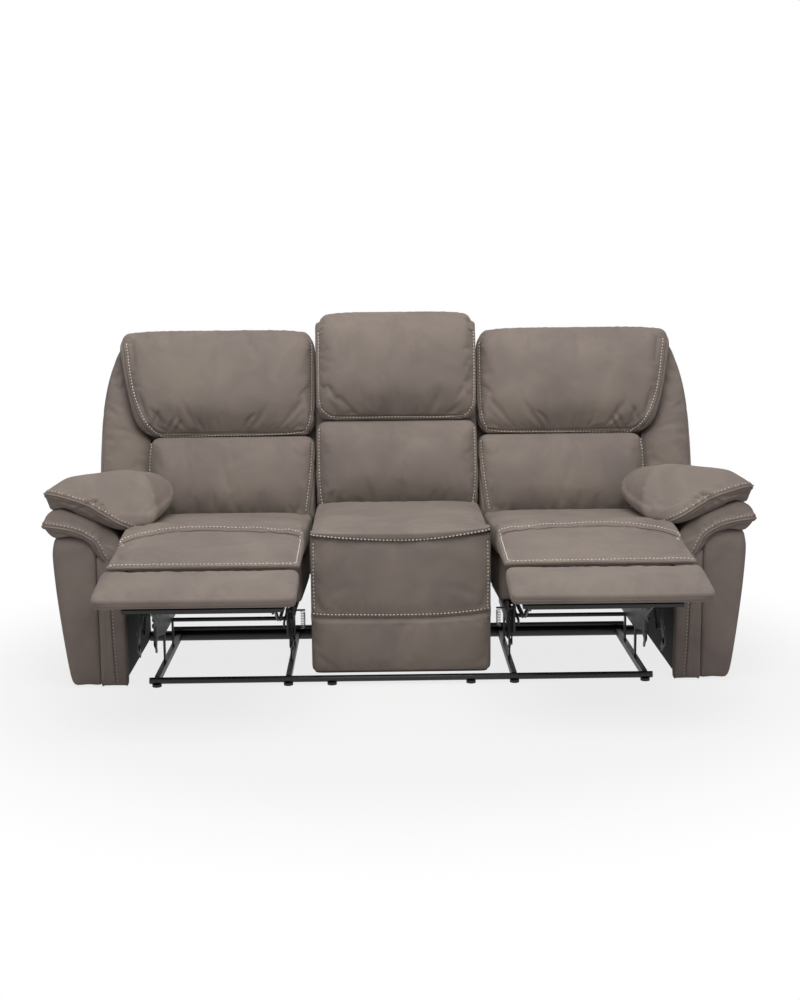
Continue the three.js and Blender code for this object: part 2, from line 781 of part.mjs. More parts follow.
// The padded outer edge of a side back: its inner side follows the headrest, its outer side rounds over.
function backWing() {
  const width = wingOuterX - wingInnerX;
  return softBlock({
    low: [wingInnerX, wingFront, wingBottom],
    high: [wingOuterX, padBackY, wingTop],
    steps: [3, 2, 9],
    ...wingForm,
    warp: (point) => {
      const rise = THREE.MathUtils.clamp((point.z - wingBottom) / (wingTop - wingBottom), 0, 1);
      const inner = Math.max(wingInnerX, headrestEdge(point.z) + wingGap);
      const room = (wingOuterX - inner) * (1 - wingRoundShare * rise ** 6);
      point.x = inner + (point.x - wingInnerX) * room / width;
      leanBack(point);
    },
  });
}

// Middle seat

function addCentreSeat() {
  const half = centreHalfWidth - centreBoxInset;
  const boxTop = seatBoxTop;
  const boxBottom = frontTubeZ + frontTubeRadius + seatGap;
  const stepZ = rearTubeZ + rearUpperTubeRise + rearUpperTubeRadius + seatGap;
  const stepY = rearTubeY - rearTubeRadius - tubeClear;
  const body = box([-half, centreBoxFront, stepZ], [half, centreBoxEnd, boxTop]);
  const base = box([-half, centreBoxFront, boxBottom], [half, stepY, boxTop]);
  addPiece(sofa, 'centre_seat_box', join(body, base), 'cover');
  const cushion = softBlock({
    low: [-half, centreBoxFront, boxTop + seatGap],
    high: [half, cushionRearY, centreSeatTop],
    steps: [6, 5, 2],
    ...centreCushionForm,
  });
  addPiece(sofa, 'centre_seat_cushion', cushion, 'cover');
  const backY = centreBoxFront - seatGap;
  const pad = softBlock({
    low: [-centreHalfWidth, backY - frontPadDepth, frontPadBottom],
    high: [centreHalfWidth, backY, frontPadTop],
    steps: [6, 2, 14],
    ...frontPadForm,
    warp: frontPadSeamWarp,
  });
  addPiece(sofa, 'centre_front_pad', pad, 'cover');
}

// A sewn channel across the front pad.
function frontPadSeamWarp(point) {
  const away = (point.z - frontPadSeam) / (frontPadSeamDepth * 2);
  const depth = frontPadSeamDepth * Math.exp(-(away ** 2));
  const frontShare = (centreBoxFront - point.y) / (frontPadDepth);
  point.y += depth * THREE.MathUtils.clamp(frontShare, 0, 1);
}

function addCentreBack() {
  const half = centreHalfWidth;
  const bottom = seatBoxTop + seatGap;
  const slab = leaned(box(
    [-half + backFrameInset, backFrameFront, bottom],
    [half - backFrameInset, backFrameFront + backFrameThickness, centreBackTop - 4 * backFrameInset],
  ));
  const foot = box(
    [-half + backFrameInset, cushionRearY + seatGap, bottom],
    [half - backFrameInset, backFrameFront, lumbarBottom - tubeClear],
  );
  addPiece(sofa, 'centre_back_frame', join(slab, foot), 'cover');
  addPiece(sofa, 'centre_lumbar_pad', lumbarPad(-half, half), 'cover');
  addPiece(sofa, 'centre_headrest_pad', headrestPad(-half, half, centreBackTop, leanBack), 'cover');
}

// Arms

const rollOutlineShares = [
  [1, 0.68], [0.93, 0.87], [0.64, 0.99], [0.32, 0.88], [0.11, 0.64], [0.017, 0.3],
  [0, 0.02], [0.06, 0], [0.1, 0.2], [0.22, 0.36], [0.53, 0.42], [0.88, 0.44],
];
const pillowOutlineShares = [
  [1, 0.636], [0.885, 0.889], [0.67, 0.99], [0.4, 1], [0.155, 0.895], [0.03, 0.6], [0, 0.3],
  [0.06, 0.08], [0.187, 0], [0.348, 0.1], [0.549, 0.22], [0.756, 0.3], [0.937, 0.385],
];
const panelOutlineShares = [
  [0, 0], [0.62, 0], [0.69, 0.03], [0.82, 0.3], [0.95, 0.62], [1, 0.85], [0.98, 0.96], [0.9, 1], [0, 1],
];
const frameTopShares = [[1, 1], [0.78, 1], [0.33, 0.94], [0.17, 0.855], [0, 0.845]];

function armOutline(limits, outlineShares) {
  const width = limits.outer - limits.inner;
  const height = limits.top - limits.bottom;
  return outlineShares.map(([across, up]) => [limits.inner + across * width, limits.bottom + up * height]);
}

function armFrameShape(inner) {
  const limits = { ...armFrame, inner };
  return armOutline(limits, [[0, 0], [1, 0], ...frameTopShares]);
}

function addArms() {
  const frame = frontPlate(armFrameShape(armFrame.inner), armFrame.front, armRearY);
  const facingEnd = armFrontY + armFacing.depth;
  const facing = frontPlate(armFrameShape(armFacing.inner), armFrontY, facingEnd);
  const panelLeverHole = rodAlongX(
    leverPaddleX - leverShaft - seatGap, armPanel.outer + cutOverrun,
    leverPivot.y, leverPivot.z, leverPivot.radius + pinClearance, 16,
  );
  const panel = frontPlate(armOutline(armPanel, panelOutlineShares), armFrontY, armRearY);
  const seats = [frame, panel, facing];
  const roll = cutBy(softRun({
    limits: armRoll,
    outlineShares: rollOutlineShares,
    points: 22,
    stations: runStations(armFrontY - rollOverhang, armRearY - seatGap, 0, 0),
  }), seats);
  const pillow = cutBy(softRun({
    limits: armPillow,
    outlineShares: pillowOutlineShares,
    points: 22,
    stations: runStations(armFrontY - rollOverhang, armPillow.rear, pillowBulge, pillowFall),
  }), [roll]);
  addPair(world, 'arm_frame', frame, 'lining');
  addPair(world, 'arm_facing', facing, 'cover');
  addPair(world, 'arm_outer_panel', cut(panel, panelLeverHole), 'cover');
  addPair(world, 'arm_roll', roll, 'cover');
  addPair(world, 'arm_pillow', pillow, 'cover');
}

// Cut a soft piece by what it lies on, with the seat gap above and inside it.
function cutBy(geometry, seats) {
  const cutters = seats.flatMap((seat) => [
    moved(seat, 0, 0, seatGap), moved(seat, -seatGap, 0, 0), moved(seat, -seatGap, 0, seatGap),
  ]);
  return cut(geometry, ...cutters);
}

// Stations from front to rear: drawn in at both ends, bulging sideways between, lower towards the rear.
const stationShares = [[0, 0.74], [0.025, 0.92], [0.1, 1], [0.5, 1], [0.95, 1], [1, 0.93]];

function runStations(front, rear, bulge, fall) {
  return stationShares.map(([along, size]) => ({
    at: front + along * (rear - front),
    size,
    move: -bulge * Math.sin(Math.PI * along),
    flatten: fall * along,
  }));
}

function addLevers() {
  const tip = { y: leverPivot.y - leverLength, z: leverPivot.z + leverWidth / 2 };
  const paddle = sidePlate(barShape(leverPivot, tip, leverWidth / 2), leverPaddleX, leverThickness);
  const shaft = rodAlongX(
    leverPaddleX - leverShaft, leverPaddleX, leverPivot.y, leverPivot.z, leverPivot.radius,
  );
  addPair(world, 'release_lever', join(paddle, shaft), 'plastic');
}

// Springs

function springPath() {
  const points = [];
  const total = springCurls * springSteps;
  const length = springCurls * springPitch;
  for (let step = 0; step <= total; step += 1) {
    const angle = 2 * Math.PI * step / springSteps;
    points.push(new THREE.Vector3(
      springRadius * Math.cos(angle), springRadius * Math.sin(angle), -length * step / total,
    ));
  }
  return points;
}

// One tube of five sides swept along the curls, closed by a straight end at each side.
function springTube() {
  const curl = springPath();
  const wire = 2 * springWire;
  const first = curl[0].clone().add(new THREE.Vector3(0, 0, wire));
  const last = curl[curl.length - 1].clone().add(new THREE.Vector3(0, 0, -wire));
  const path = [first, ...curl, last];
  const vertices = [];
  path.forEach((point, step) => {
    const before = path[Math.max(step - 1, 0)];
    const after = path[Math.min(step + 1, path.length - 1)];
    const along = after.clone().sub(before).normalize();
    const outward = new THREE.Vector3(point.x, point.y, 0).normalize();
    const side = along.clone().cross(outward).normalize();
    const up = side.clone().cross(along).normalize();
    for (let corner = 0; corner < springSides; corner += 1) {
      const angle = 2 * Math.PI * corner / springSides;
      const ring = point.clone()
        .addScaledVector(up, springWire * Math.cos(angle))
        .addScaledVector(side, springWire * Math.sin(angle));
      vertices.push(ring.x, ring.y, ring.z);
    }
  });
  const index = [];
  for (let row = 0; row + 1 < path.length; row += 1) {
    for (let corner = 0; corner < springSides; corner += 1) {
      const next = (corner + 1) % springSides;
      const [a, b] = [row * springSides + corner, row * springSides + next];
      const [c, d] = [a + springSides, b + springSides];
      index.push(a, b, c, b, d, c);
    }
  }
  const end = (path.length - 1) * springSides;
  for (let corner = 1; corner + 1 < springSides; corner += 1) {
    index.push(0, corner + 1, corner, end, end + corner, end + corner + 1);
  }
  const geometry = new THREE.BufferGeometry();
  geometry.setAttribute('position', new THREE.Float32BufferAttribute(vertices, 3));
  geometry.setIndex(index);
  reportSpringGap(path);
  return facingOut(geometry);
}

function reportSpringGap(path) {
  let least = Infinity;
  path.forEach((point, step) => {
    path.slice(step + springSteps / 2).forEach((other) => {
      least = Math.min(least, point.distanceTo(other) - 2 * springWire);
    });
  });
  console.log(`least gap of a spring to itself: ${least.toFixed(2)} mm`);
}

function addSprings() {
  const spring = moved(springTube(), springX, springY, springTop - 2 * springWire - seatGap);
  addLeaning('tension_spring', spring, 'zinc');
}

addBase();
addRearFrame();
addRails();
addSidePlates();
addSeatFrame();
addSeatBox();
addSeatCushion();
addRearLinks();
addFrontLinks();
addFootrest();
addChaisePad();
addSideBack();
addCentreSeat();
addCentreBack();
addArms();
addLevers();
addSprings();

const bounds = new THREE.Box3().setFromObject(sofa);
sofa.position.y = -(bounds.min.y + bounds.max.y) / 2;

export default sofa;
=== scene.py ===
"""The looks of a three-seat reclining sofa: padded covers, sewn seams, black steelwork, studio and camera.

Sizes are in millimetres in the frame that the sofa was drawn in, where Y is zero at the front base tube;
in_row() turns them into the row frame's metres. Right-hand pieces are drawn and left-hand ones mirrored.
"""
import json
import logging
import math
from collections.abc import Callable, Sequence
from dataclasses import dataclass, field
from enum import Enum
from typing import ClassVar

import bmesh
import bpy
import numpy as np
from mathutils import Matrix, Vector
from mathutils.bvhtree import BVHTree


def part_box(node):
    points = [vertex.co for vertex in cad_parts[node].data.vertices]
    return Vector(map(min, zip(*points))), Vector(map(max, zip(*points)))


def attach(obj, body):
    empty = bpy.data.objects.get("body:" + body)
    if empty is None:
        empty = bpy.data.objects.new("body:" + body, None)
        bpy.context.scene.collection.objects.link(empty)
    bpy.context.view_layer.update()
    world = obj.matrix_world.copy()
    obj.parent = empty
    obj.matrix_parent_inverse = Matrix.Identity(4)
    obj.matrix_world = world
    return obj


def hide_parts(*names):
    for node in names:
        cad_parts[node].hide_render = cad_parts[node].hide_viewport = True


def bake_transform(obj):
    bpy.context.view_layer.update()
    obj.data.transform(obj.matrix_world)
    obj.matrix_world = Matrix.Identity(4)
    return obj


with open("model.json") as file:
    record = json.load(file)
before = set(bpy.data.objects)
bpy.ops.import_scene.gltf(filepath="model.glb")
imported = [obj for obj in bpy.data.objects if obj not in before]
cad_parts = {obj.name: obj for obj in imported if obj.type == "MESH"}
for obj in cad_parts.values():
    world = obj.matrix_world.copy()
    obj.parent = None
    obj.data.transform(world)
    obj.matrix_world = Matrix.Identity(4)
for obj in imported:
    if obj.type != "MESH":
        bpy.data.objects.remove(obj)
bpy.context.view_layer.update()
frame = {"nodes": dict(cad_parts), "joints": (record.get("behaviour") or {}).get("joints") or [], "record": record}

LOG = logging.getLogger("sofa")
Points = np.ndarray
Warp = Callable[[Points], Points]

MM = 0.001
TUBE_LOW, TUBE_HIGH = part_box("base_front_tube")
ROW_SHIFT = (TUBE_LOW.y + TUBE_HIGH.y) / 2
JOINTS = {joint["name"]: joint for joint in frame["joints"]}
TILT_PIN = JOINTS["right_seat_tilt"]["pos_m"]


class Side(Enum):
    """Which end of the sofa, as seen from the front; the value is the sign of X."""

    LEFT = -1
    RIGHT = 1

    @property
    def word(self) -> str:
        """The side's name as it stands in node and body names."""
        return self.name.lower()


def in_row(points: Points) -> Points:
    """Turn drawn millimetres into metres in the row frame.

    Args:
        points: places as drawn, one per line.

    Returns:
        The same places in the row frame.
    """
    placed = np.asarray(points, float) * MM
    placed[:, 1] += ROW_SHIFT
    return placed


# Finishes


def linear(hex_colour: str) -> tuple[float, float, float, float]:
    """Turn an sRGB hex colour into the linear values that a shader takes.

    Args:
        hex_colour: six hex digits.

    Returns:
        Red, green, blue and an alpha of 1.
    """
    parts = [int(hex_colour[start:start + 2], 16) / 255 for start in (0, 2, 4)]
    red, green, blue = (p / 12.92 if p <= 0.04045 else ((p + 0.055) / 1.055) ** 2.4 for p in parts)
    return red, green, blue, 1.0


def add_node(tree: bpy.types.NodeTree, kind: str, settings: dict | None = None,
             links: dict | None = None) -> bpy.types.Node:
    """Add a node, set its properties or input values, and link its inputs.

    Args:
        tree: the node tree it goes into.
        kind: the node's type name.
        settings: property names or input names with their values.
        links: input names or numbers with the sockets that feed them.

    Returns:
        The new node.
    """
    node = tree.nodes.new(kind)
    for name, value in (settings or {}).items():
        if isinstance(name, str) and hasattr(node, name):
            setattr(node, name, value)
        else:
            node.inputs[name].default_value = value
    for name, socket in (links or {}).items():
        tree.links.new(socket, node.inputs[name])
    return node


class Pattern(Enum):
    """A texture: its node type and the output that holds its pattern."""

    NOISE = ("ShaderNodeTexNoise", "Fac")
    CELLS = ("ShaderNodeTexVoronoi", "Distance")


class Mixture:
    """A material while it is made: its node tree, with textures and bumps sized in millimetres."""

    def __init__(self, name: str) -> None:
        """Start with an empty tree and Object coordinates.

        Args:
            name: the material's name.
        """
        self.material = bpy.data.materials.new(name)
        self.material.use_nodes = True
        self.tree = self.material.node_tree
        self.tree.nodes.clear()
        self.place = add_node(self.tree, "ShaderNodeTexCoord").outputs["Object"]

    def texture(self, pattern: Pattern, size_mm: float, **settings: object) -> bpy.types.NodeSocket:
        """Add a texture.

        Args:
            pattern: which one.
            size_mm: the size of its features.
            **settings: its other properties and input values.

        Returns:
            The socket that holds its pattern.
        """
        kind, output = pattern.value
        node = add_node(self.tree, kind, {"Scale": 1 / (size_mm * MM), **settings}, {"Vector": self.place})
        return node.outputs[output]

    def ramp(self, factor: bpy.types.NodeSocket, *stops: tuple[float, str]) -> bpy.types.NodeSocket:
        """Colour a factor by a ramp of hex colours.

        Args:
            factor: what drives the ramp.
            *stops: places from 0 to 1 with their hex colours.

        Returns:
            The ramp's colour socket.
        """
        node = add_node(self.tree, "ShaderNodeValToRGB", links={"Fac": factor})
        elements = node.color_ramp.elements
        while len(elements) < len(stops):
            elements.new(0.5)
        for element, (place, colour) in zip(elements, stops):
            element.position = place
            element.color = linear(colour)
        return node.outputs["Color"]

    def bump(self, height: bpy.types.NodeSocket, strength: float, depth_mm: float,
             under: bpy.types.NodeSocket | None = None) -> bpy.types.NodeSocket:
        """Raise the surface by a pattern.

        Args:
            height: the pattern.
            strength: how much of it shows.
            depth_mm: how deep it is.
            under: a coarser bump that it lies on.

        Returns:
            The socket with the surface's directions.
        """
        links = {"Height": height, "Normal": under} if under else {"Height": height}
        node = add_node(self.tree, "ShaderNodeBump", {"Strength": strength, "Distance": depth_mm * MM}, links)
        return node.outputs["Normal"]

    def spread(self, factor: bpy.types.NodeSocket, low: float, high: float) -> bpy.types.NodeSocket:
        """Turn a factor from 0 to 1 into a value from low to high."""
        node = add_node(self.tree, "ShaderNodeMapRange", {"To Min": low, "To Max": high}, {"Value": factor})
        return node.outputs["Result"]

    def shaded(self, settings: dict, links: dict) -> bpy.types.Material:
        """Finish the material with a principled surface.

        Args:
            settings: the surface's input values.
            links: its input names with the sockets that feed them.

        Returns:
            The finished material.
        """
        shader = add_node(self.tree, "ShaderNodeBsdfPrincipled", settings, links)
        add_node(self.tree, "ShaderNodeOutputMaterial", links={"Surface": shader.outputs["BSDF"]})
        return self.material


@dataclass(frozen=True)
class FauxSuede:
    """Microfibre faux suede, knitted and then brushed: matt, soft, with a nap that mottles light and dark."""

    dark: str = "7A706A"
    middle: str = "847A72"
    light: str = "8D8378"
    sheen: str = "D8CFC6"
    nap_mm: float = 170.0
    fibre_mm: float = 2.2
    fibre_share: float = 0.28
    crease_mm: float = 9.0
    roughness: float = 0.82
    roughness_spread: float = 0.07

    def make(self) -> bpy.types.Material:
        """Build the cover material."""
        mix = Mixture("taupe_faux_suede_brushed")
        # Brushed nap: wide soft patches where the fibres lie one way or the other
        nap = mix.texture(Pattern.NOISE, self.nap_mm, Detail=3.0, Roughness=0.55, Distortion=0.6)
        # The fibres themselves, on the shallow creases of a worn cover
        fibre = mix.texture(Pattern.NOISE, self.fibre_mm, Detail=4.0, Roughness=0.7)
        crease = mix.texture(Pattern.CELLS, self.crease_mm, feature="SMOOTH_F1", Smoothness=1.0)
        mixed = add_node(mix.tree, "ShaderNodeMix", {"data_type": "FLOAT", 0: self.fibre_share}, {2: nap, 3: fibre})
        colour = mix.ramp(mixed.outputs[0], (0.34, self.dark), (0.5, self.middle), (0.66, self.light))
        bump = mix.bump(fibre, 0.22, 0.5, under=mix.bump(crease, 0.10, 0.9))
        rough = mix.spread(nap, self.roughness - self.roughness_spread, self.roughness + self.roughness_spread)
        return mix.shaded(
            {"IOR": 1.46, "Sheen Weight": 0.12, "Sheen Roughness": 0.45, "Sheen Tint": linear(self.sheen),
             "Specular IOR Level": 0.3},
            {"Base Color": colour, "Roughness": rough, "Normal": bump})


@dataclass(frozen=True)
class SpunThread:
    """Bonded polyester upholstery thread, spun: pale, slightly glossy, with a fine twist."""

    light: str = "EDE7DB"
    dark: str = "CFC7B9"
    twist_mm: float = 1.2
    roughness: float = 0.55

    def make(self) -> bpy.types.Material:
        """Build the stitch material."""
        mix = Mixture("cream_polyester_thread_spun")
        # The twist shows as a light and dark flicker along each stitch
        twist = mix.texture(Pattern.NOISE, self.twist_mm, Detail=2.0)
        colour = mix.ramp(twist, (0.35, self.dark), (0.6, self.light))
        return mix.shaded({"Roughness": self.roughness, "IOR": 1.5},
                          {"Base Color": colour, "Normal": mix.bump(twist, 0.3, 0.2)})


@dataclass(frozen=True)
class PowderCoat:
    """Steel with a black polyester powder coat, baked: satin, with a slight orange peel."""

    dark: str = "0B0B0D"
    light: str = "17171A"
    peel_mm: float = 1.6
    dust_mm: float = 60.0
    roughness: float = 0.42

    def make(self) -> bpy.types.Material:
        """Build the coated steel material."""
        mix = Mixture("steel_black_powder_coated")
        peel = mix.texture(Pattern.NOISE, self.peel_mm, Detail=2.0)
        # Handling leaves the satin film a little duller in patches
        dust = mix.texture(Pattern.NOISE, self.dust_mm, Detail=5.0, Roughness=0.65)
        colour = mix.ramp(dust, (0.35, self.dark), (0.75, self.light))
        rough = mix.spread(dust, self.roughness - 0.08, self.roughness + 0.16)
        return mix.shaded({"IOR": 1.5}, {"Base Color": colour, "Roughness": rough, "Normal": mix.bump(peel, 0.12, 0.3)})


@dataclass(frozen=True)
class MouldedPlastic:
    """Black polypropylene, injection moulded: matt, with a fine spark-eroded grain."""

    dark: str = "0F0F10"
    light: str = "1C1C1E"
    grain_mm: float = 0.9
    roughness: float = 0.6

    def make(self) -> bpy.types.Material:
        """Build the moulded plastic material."""
        mix = Mixture("polypropylene_black_moulded")
        # The grain that the mould's spark-eroded faces leave
        grain = mix.texture(Pattern.NOISE, self.grain_mm, Detail=3.0)
        colour = mix.ramp(grain, (0.3, self.dark), (0.7, self.light))
        return mix.shaded({"IOR": 1.49, "Roughness": self.roughness},
                          {"Base Color": colour, "Normal": mix.bump(grain, 0.25, 0.2)})


@dataclass(frozen=True)
class ZincPlate:
    """Spring steel, zinc plated and passivated: bright, with a faint drawn streak."""

    dark: str = "9DA1A6"
    light: str = "D3D6DA"
    streak_mm: float = 3.0

    def make(self) -> bpy.types.Material:
        """Build the plated steel material."""
        mix = Mixture("spring_steel_zinc_plated")
        # Drawing the wire leaves streaks that are darker and duller
        streak = mix.texture(Pattern.NOISE, self.streak_mm, Detail=3.0)
        colour = mix.ramp(streak, (0.3, self.dark), (0.7, self.light))
        return mix.shaded({"Metallic": 1.0}, {"Base Color": colour, "Roughness": mix.spread(streak, 0.22, 0.4)})


@dataclass(frozen=True)
class LiningCloth:
    """Black spun-bonded lining, pressed: flat, with a fine pebbled surface."""

    dark: str = "0C0C0E"
    light: str = "1B1A1D"
    pebble_mm: float = 2.0
    roughness: float = 0.92

    def make(self) -> bpy.types.Material:
        """Build the lining material."""
        mix = Mixture("black_lining_spun_bonded")
        # The pebbles that the pressing rolls emboss
        pebble = mix.texture(Pattern.CELLS, self.pebble_mm)
        colour = mix.ramp(pebble, (0.1, self.dark), (0.8, self.light))
        return mix.shaded({"Roughness": self.roughness, "IOR": 1.46},
                          {"Base Color": colour, "Normal": mix.bump(pebble, 0.4, 0.3)})


@dataclass
class Finishes:
    """Every finish on the sofa, made once."""

    cover: bpy.types.Material = field(default_factory=lambda: FauxSuede().make())
    thread: bpy.types.Material = field(default_factory=lambda: SpunThread().make())
    steel: bpy.types.Material = field(default_factory=lambda: PowderCoat().make())
    plastic: bpy.types.Material = field(default_factory=lambda: MouldedPlastic().make())
    zinc: bpy.types.Material = field(default_factory=lambda: ZincPlate().make())
    lining: bpy.types.Material = field(default_factory=lambda: LiningCloth().make())


# Drawn lines


class Face(Enum):
    """The side of a piece that a line is drawn on: two drawing axes, the axis looked along and the end looked from."""

    FRONT = (0, 2, 1, -1)
    REAR = (0, 2, 1, 1)
    TOP = (0, 1, 2, 1)


def smooth_line(knots: Sequence[Sequence[float]], step: float = 6.0, count: int = 0,
                closed: bool = False) -> Points:
    """An evenly stepped smooth curve through points.

    Args:
        knots: the points that it passes through.
        step: the distance between its places, where no count is given.
        count: how many places it has.
        closed: whether it returns to its start.

    Returns:
        Places along the curve.
    """
    marks = np.array(knots, float)
    total = len(marks)
    fine = []
    for k in range(total if closed else total - 1):
        near = [(k + s) % total if closed else min(max(k + s, 0), total - 1) for s in (-1, 0, 1, 2)]
        a, b, c, d = marks[near]
        for t in np.linspace(0, 1, 12, endpoint=False):
            square, cube = 2 * a - 5 * b + 4 * c - d, 3 * b - a - 3 * c + d
            fine.append(0.5 * (2 * b + (c - a) * t + square * t ** 2 + cube * t ** 3))
    fine = np.array(fine + [marks[0] if closed else marks[-1]])
    run = np.concatenate([[0], np.cumsum(np.linalg.norm(np.diff(fine, axis=0), axis=1))])
    even = np.linspace(0, run[-1], count or max(4, round(run[-1] / step)), endpoint=not closed)
    return np.stack([np.interp(even, run, fine[:, k]) for k in range(fine.shape[1])], 1)


def beside(line: Points, distance: float, centre: Sequence[float]) -> Points:
    """Shift a drawn line away from a centre.

    Args:
        line: places in a drawing.
        distance: how far it shifts, in millimetres.
        centre: a place in the drawing that it moves away from.

    Returns:
        The shifted places.
    """
    run = np.gradient(line, axis=0)
    across = np.stack([run[:, 1], -run[:, 0]], 1)
    across /= np.maximum(np.linalg.norm(across, axis=1, keepdims=True), 1e-9)
    across *= np.sign(np.sum(across * (line - np.array(centre, float)), axis=1, keepdims=True))
    return line + across * distance


def mesh_places(mesh: bpy.types.Mesh) -> tuple[Points, Points]:
    """The corners of a mesh and its outward directions there.

    Args:
        mesh: the mesh.

    Returns:
        Places and directions.
    """
    count = len(mesh.vertices)
    places, normals = np.zeros(count * 3), np.zeros(count * 3)
    mesh.vertices.foreach_get("co", places)
    mesh.vertices.foreach_get("normal", normals)
    return places.reshape(-1, 3), normals.reshape(-1, 3)


class Chart:
    """A piece as it was drawn, before it leaned or was blown up, to find a drawn place again on the finished mesh."""

    looks_from = 50.0  # millimetres outside the piece
    falls_back = 14.0  # millimetres under its edge, where a line runs past it

    def __init__(self, drawn: Points, faces: Sequence[Sequence[int]]) -> None:
        """Index the drawn triangles.

        Args:
            drawn: the corners in drawn millimetres.
            faces: the corners of each face.
        """
        self.drawn = drawn
        self.triangles = [(ring[0], ring[k], ring[k + 1]) for ring in faces for k in range(1, len(ring) - 1)]
        self.tree = BVHTree.FromPolygons([Vector(p) for p in drawn], self.triangles)

    def spots(self, line: Points, face: Face) -> tuple[Points, list[tuple[int, ...]], Points]:
        """Where a drawn line lies on the piece.

        Args:
            line: places in the drawing.
            face: the side that it is drawn on.

        Returns:
            Places in drawn millimetres, the corners round each and their shares.
        """
        first, second, depth, end = face.value
        edge = self.drawn[:, depth].max() if end > 0 else self.drawn[:, depth].min()
        looking = Vector((0, 0, 0))
        looking[depth] = -end
        places, rings, shares = [], [], []
        for a, b in line:
            start = Vector((0, 0, 0))
            start[first], start[second], start[depth] = a, b, edge + end * self.looks_from
            spot, _, number, _ = self.tree.ray_cast(start, looking)
            if spot is None:
                start[depth] = edge - end * self.falls_back
                spot, _, number, _ = self.tree.find_nearest(start)
            ring = self.triangles[number]
            corner, *sides = (self.drawn[k] for k in ring)
            sides = np.stack([side - corner for side in sides], 1)
            pair, *_ = np.linalg.lstsq(sides, np.array(spot) - corner, rcond=None)
            places.append(np.array(spot))
            rings.append(ring)
            shares.append((1 - pair.sum(), *pair))
        return np.array(places), rings, np.array(shares)

    def trace(self, mesh: bpy.types.Mesh, line: Points, face: Face) -> tuple[Points, Points]:
        """Places and outward directions of a drawn line on the finished mesh.

        Args:
            mesh: the finished mesh, with the same corners as the drawing.
            line: places in the drawing.
            face: the side that it is drawn on.

        Returns:
            Places in the row frame and the surface's directions there.
        """
        _, rings, shares = self.spots(line, face)
        places, normals = mesh_places(mesh)
        found = np.array([share @ places[list(ring)] for ring, share in zip(rings, shares)])
        facing = np.array([share @ normals[list(ring)] for ring, share in zip(rings, shares)])
        return found, facing / np.maximum(np.linalg.norm(facing, axis=1, keepdims=True), 1e-9)


@dataclass(frozen=True)
class Dent:
    """A groove or crease pressed in along a drawn line, in millimetres, with a raised flank on each side."""

    # The middle of the flanks in groove widths, and how steeply they fall
    FLANK_PLACE: ClassVar[float] = 1.9
    FLANK_FALL: ClassVar[float] = 1.6

    knots: tuple[tuple[float, float], ...]
    face: Face = Face.FRONT
    width: float = 7.0
    depth: float = 3.0
    tapered: bool = True
    flank: float = 0.3

    def press(self, chart: Chart) -> Points:
        """How far in each corner of a piece goes.

        Args:
            chart: the piece as drawn.

        Returns:
            One depth for each corner.
        """
        line, *_ = chart.spots(smooth_line(self.knots, 8.0), self.face)
        depth = np.zeros(len(chart.drawn))
        margin = 4 * self.width
        near = np.all((chart.drawn > line.min(0) - margin) & (chart.drawn < line.max(0) + margin), axis=1)
        spots = chart.drawn[near]
        best, along = np.full(len(spots), 1e9), np.zeros(len(spots))
        for number, (a, b) in enumerate(zip(line, line[1:])):
            run = b - a
            share = np.clip((spots - a) @ run / max(run @ run, 1e-9), 0, 1)
            away = np.linalg.norm(spots - a - share[:, None] * run, axis=1)
            nearer = away < best
            best = np.where(nearer, away, best)
            along = np.where(nearer, (number + share) / (len(line) - 1), along)
        across = best / self.width
        flanks = self.flank * np.exp(-((across - self.FLANK_PLACE) ** 2) * self.FLANK_FALL)
        taper = np.sin(math.pi * np.clip(along, 0, 1)) ** 0.7 if self.tapered else 1
        depth[near] = self.depth * (np.exp(-across ** 2) - flanks) * taper
        return depth


def gathers(start: Sequence[float], end: Sequence[float], away: Sequence[float], count: int, seed: int,
            face: Face = Face.FRONT, width: float = 5.0, depth: float = 2.6) -> tuple[Dent, ...]:
    """Short creases that fan out from a seam where its cloth is gathered.

    Args:
        start: where the first crease meets the seam, in the drawing.
        end: where the last one does.
        away: how far each crease runs, in the drawing.
        count: how many there are.
        seed: sets their small differences.
        face: the side that they are drawn on.
        width: of each crease, in millimetres.
        depth: of each crease, in millimetres.

    Returns:
        One dent for each crease.
    """
    dice = np.random.RandomState(seed)
    dents = []
    for share in (np.arange(count) + 0.5) / count:
        share += dice.uniform(-0.25, 0.25) / count
        root = np.array(start, float) * (1 - share) + np.array(end, float) * share
        reach = np.array(away, float) * dice.uniform(0.55, 1.0)
        bend = np.array([-reach[1], reach[0]]) * dice.uniform(-0.2, 0.2)
        places = (root - reach * 0.15, root + reach * 0.5 + bend, root + reach)
        knots = tuple(tuple(float(v) for v in place) for place in places)
        dents.append(Dent(knots, face, width * dice.uniform(0.8, 1.3), depth * dice.uniform(0.6, 1.2)))
    return tuple(dents)


@dataclass(frozen=True)
class Seam:
    """A sewn line: rows of stitches, with a folded welt and a groove beside them, away from a centre."""

    knots: tuple[tuple[float, float], ...]
    centre: tuple[float, float]
    face: Face = Face.FRONT
    rows: tuple[float, ...] = (0.0,)
    welt: float = 9.0
    sink: float = 1.4
    groove: float = 4.5
    groove_away: float = 14.0
    groove_width: float = 4.5

    def line(self, distance: float) -> Points:
        """The seam's drawn line, shifted away from its centre."""
        return beside(smooth_line(self.knots), distance, self.centre)

    def dents(self) -> tuple[Dent, ...]:
        """The groove outside the welt and the shallow pull of the stitches."""
        grooves = [Dent(tuple(map(tuple, self.line(away))), self.face, 5.0, 0.9, False, 0.0) for away in self.rows]
        if self.groove:
            place = tuple(map(tuple, self.line(self.groove_away)))
            grooves.append(Dent(place, self.face, self.groove_width, self.groove, False, 0.15))
        return tuple(grooves)


# Padded pieces


